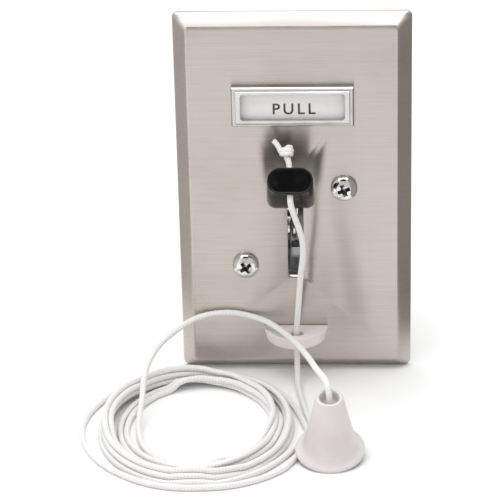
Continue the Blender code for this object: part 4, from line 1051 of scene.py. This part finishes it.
round_off(guide, lambda e: all(v.co.z < GUIDE_TOP - 4 * MM for v in e.verts) and off_the_plate(e),
          0.9 * MM, 5)
round_off(guide, lambda e: all(v.co.z > GUIDE_TOP - 0.01 * MM for v in e.verts) and off_the_plate(e),
          0.30 * MM, 3)
hole = [place * MM for place in GUIDE_HOLE]
bore(guide, peg("cord_way", 1.85 * MM, (*hole, -50 * MM), (*hole, -40 * MM)),
     peg("countersink", 1.7 * MM, (*hole, GUIDE_TOP - 0.7 * MM), (*hole, GUIDE_TOP + 0.1 * MM),
         40, 2.35 * MM))
soften(guide, 0.12 * MM, 2, 40.0)
# The guide's white is painted 1.14 times lighter than the bell's, as painted light; both are the same
# plastic.
fit(guide, "cord_guide_shelf", white_moulding("guide_white_painted_lighter", 1.14), "plate", "white_plastic",
    "cord_guide", angle=35.0)

# The bell's wall as radius and height in millimetres, from its foot up the outside, down the
# recess and the cord hole, then down the inside.
BELL = [(9.85, 0.0), (10.0, 0.2), (10.0, 0.6), (9.85, 0.95), (9.4, 1.2), (8.8, 1.5), (8.2, 2.0),
        (7.75, 2.7), (7.45, 3.6), (7.15, 4.8), (6.75, 6.5), (6.3, 8.6), (5.8, 10.9), (5.3, 13.2),
        (4.85, 15.4), (4.45, 17.3), (4.15, 18.8), (3.98, 19.5), (3.75, 19.87), (3.45, 20.0),
        (3.1, 19.95), (2.85, 19.7), (2.72, 19.2), (2.65, 18.2), (2.6, 17.5), (2.45, 17.15),
        (2.1, 17.0), (1.5, 16.95), (1.28, 16.8), (1.2, 16.5), (1.2, 15.6), (1.35, 15.3),
        (2.4, 15.2), (3.2, 14.6), (3.75, 13.4), (4.35, 11.2), (4.95, 8.8), (5.5, 6.4),
        (6.0, 4.4), (6.4, 3.0), (6.9, 1.9), (7.6, 1.1), (8.5, 0.5), (9.2, 0.15), (9.5, 0.0)]
bell = turned("bell", [(r * MM, z * MM) for r, z in BELL + BELL[:1]], sides=96)
bell.matrix_world = BELL_FRAME
fit(bell, "pull_bell_moulding", white_moulding("bell_white"), "plate", "white_plastic", "pull_bell",
    angle=50.0)
length_of(free_points)

# ---------------------------------------------------------
# Mounting strap, switch frame and the small metal parts. All are punched from zinc-plated steel
# sheet, with a slight roll on their cut edges; the pivot pin is nickel-plated and headed.
# node: how far its edges are rolled in millimetres, and its finish
PRESSED = {"mounting_strap": (0.22, zinc_plated("zinc_strap")),
           "switch_frame": (0.20, zinc_plated("zinc_frame", 0.03)),
           "clamp_plate": (0.15, zinc),
           "label_clip_left": (0.12, zinc), "label_clip_right": (0.12, zinc),
           "pivot_clip": (0.10, zinc), "stop_pin_rest": (0.15, zinc), "stop_pin_pulled": (0.15, zinc)}
for node, (edge, finish) in PRESSED.items():
    fit(refined(node, edge * MM), node + "_pressed", finish, "plate", "zinc_steel", node)
fit(refined("pivot_pin", 0.15 * MM), "pivot_pin_headed", nickel, "plate", "nickel", "pivot_pin")

# ---------------------------------------------------------
# Cam, detent wheel and detent spring. The cam is natural nylon and the wheel is nickel-plated, both
# keyed to the lever. The flat steel spring clicks into the wheel's notches.
nylon = Finish("natural_nylon", (0.78, 0.76, 0.69), 0.42,
               Subsurface_Weight=0.2, Subsurface_Scale=1.0 * MM)
milky = nylon.cloud(160.0, 3.0)
nylon.colour((0.70, 0.67, 0.58), (0.82, 0.80, 0.73), milky.step(0.3, 0.7))
nylon.paint("Roughness", milky * 0.2 + 0.30)
nylon.relief(nylon.cloud(2500.0, 2.0), 0.012 * MM, 0.3)
brass = Finish("rolled_brass", (0.76, 0.58, 0.28), 0.26, 1.0)
tarnish = brass.cloud(170.0, 4.0)
rolled = brass.cloud(1.0, 2.0, stretch=(2800.0, 250.0, 2800.0))
brass.colour((0.56, 0.40, 0.18), (0.80, 0.62, 0.31), tarnish.step(0.3, 0.6))
brass.paint("Roughness", tarnish * 0.2 + rolled * 0.1 + 0.14)
brass.relief(rolled, 0.015 * MM, 0.35)
fit(refined("contact_cam", 0.20 * MM), "contact_cam_moulding", nylon, "lever", "nylon", "contact_cam")
fit(refined("detent_wheel", 0.15 * MM), "detent_wheel_turned", nickel, "lever", "nickel",
    "detent_wheel")
fit(refined("detent_spring", 0.08 * MM, 2, 50.0), "detent_spring_strip",
    zinc_plated("spring_steel", 0.0), "plate", "zinc_steel", "detent_spring")

# ---------------------------------------------------------
# Contact stack. Two brass leaves with silvered rivets are clamped between brown fibre insulators.
# The nylon pusher rides on the cam and lifts the lower leaf, which bends, to close the contacts.
fibre = Finish("brown_fibre_board", (0.22, 0.11, 0.055), 0.55)
layers = fibre.cloud(1.0, 3.0, stretch=(220.0, 220.0, 3600.0))
mottle = fibre.cloud(420.0, 4.0)
fibre.colour((0.13, 0.060, 0.028), (0.30, 0.155, 0.08), layers * 0.5 + mottle * 0.5)
fibre.paint("Roughness", mottle * 0.2 + 0.45)
fibre.relief(layers, 0.03 * MM, 0.5)
for node in ("insulator_lower", "insulator_middle", "insulator_upper"):
    fit(refined(node, 0.12 * MM), node + "_board", fibre, "plate", "insulator", node)
fit(refined("contact_pusher", 0.12 * MM), "contact_pusher_pin", nylon, "pusher", "nylon",
    "contact_pusher")
silvered = Finish("silvered_contact", (0.83, 0.82, 0.80), 0.24, 1.0)
sulphide = silvered.cloud(900.0, 4.0)
silvered.colour((0.55, 0.51, 0.45), (0.86, 0.85, 0.83), sulphide.step(0.28, 0.5))
silvered.paint("Roughness", sulphide * 0.25 + 0.14)
for node, body in (("moving_contact", "moving_contact"), ("fixed_contact", "plate")):
    fit(refined(node, 0.06 * MM), node + "_rivet", silvered, body, "nickel", node)
fit(refined("fixed_leaf", 0.05 * MM), "fixed_leaf_strip", brass, "plate", "brass", "fixed_leaf")
leaf = refined("moving_leaf", 0.05 * MM)
LEAF_TIP = 8.0                      # in millimetres along Y, as the step from cut to cut
LEAF_STEP = 1.05
for i in range(1, 24):
    take(leaf)
    bpy.ops.object.mode_set(mode="EDIT")
    bpy.ops.mesh.select_all(action="SELECT")
    bpy.ops.mesh.bisect(plane_co=(0.0, (LEAF_TIP + LEAF_STEP * i) * MM, 0.0), plane_no=(0.0, 1.0, 0.0))
    put_down()
dress(leaf, "moving_leaf_strip", brass)
bpy.ops.object.shade_smooth_by_angle(angle=math.radians(32.0))
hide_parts("moving_leaf")
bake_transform(leaf)

# ---------------------------------------------------------
# Corners of the finished model's bounds.
low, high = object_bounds()
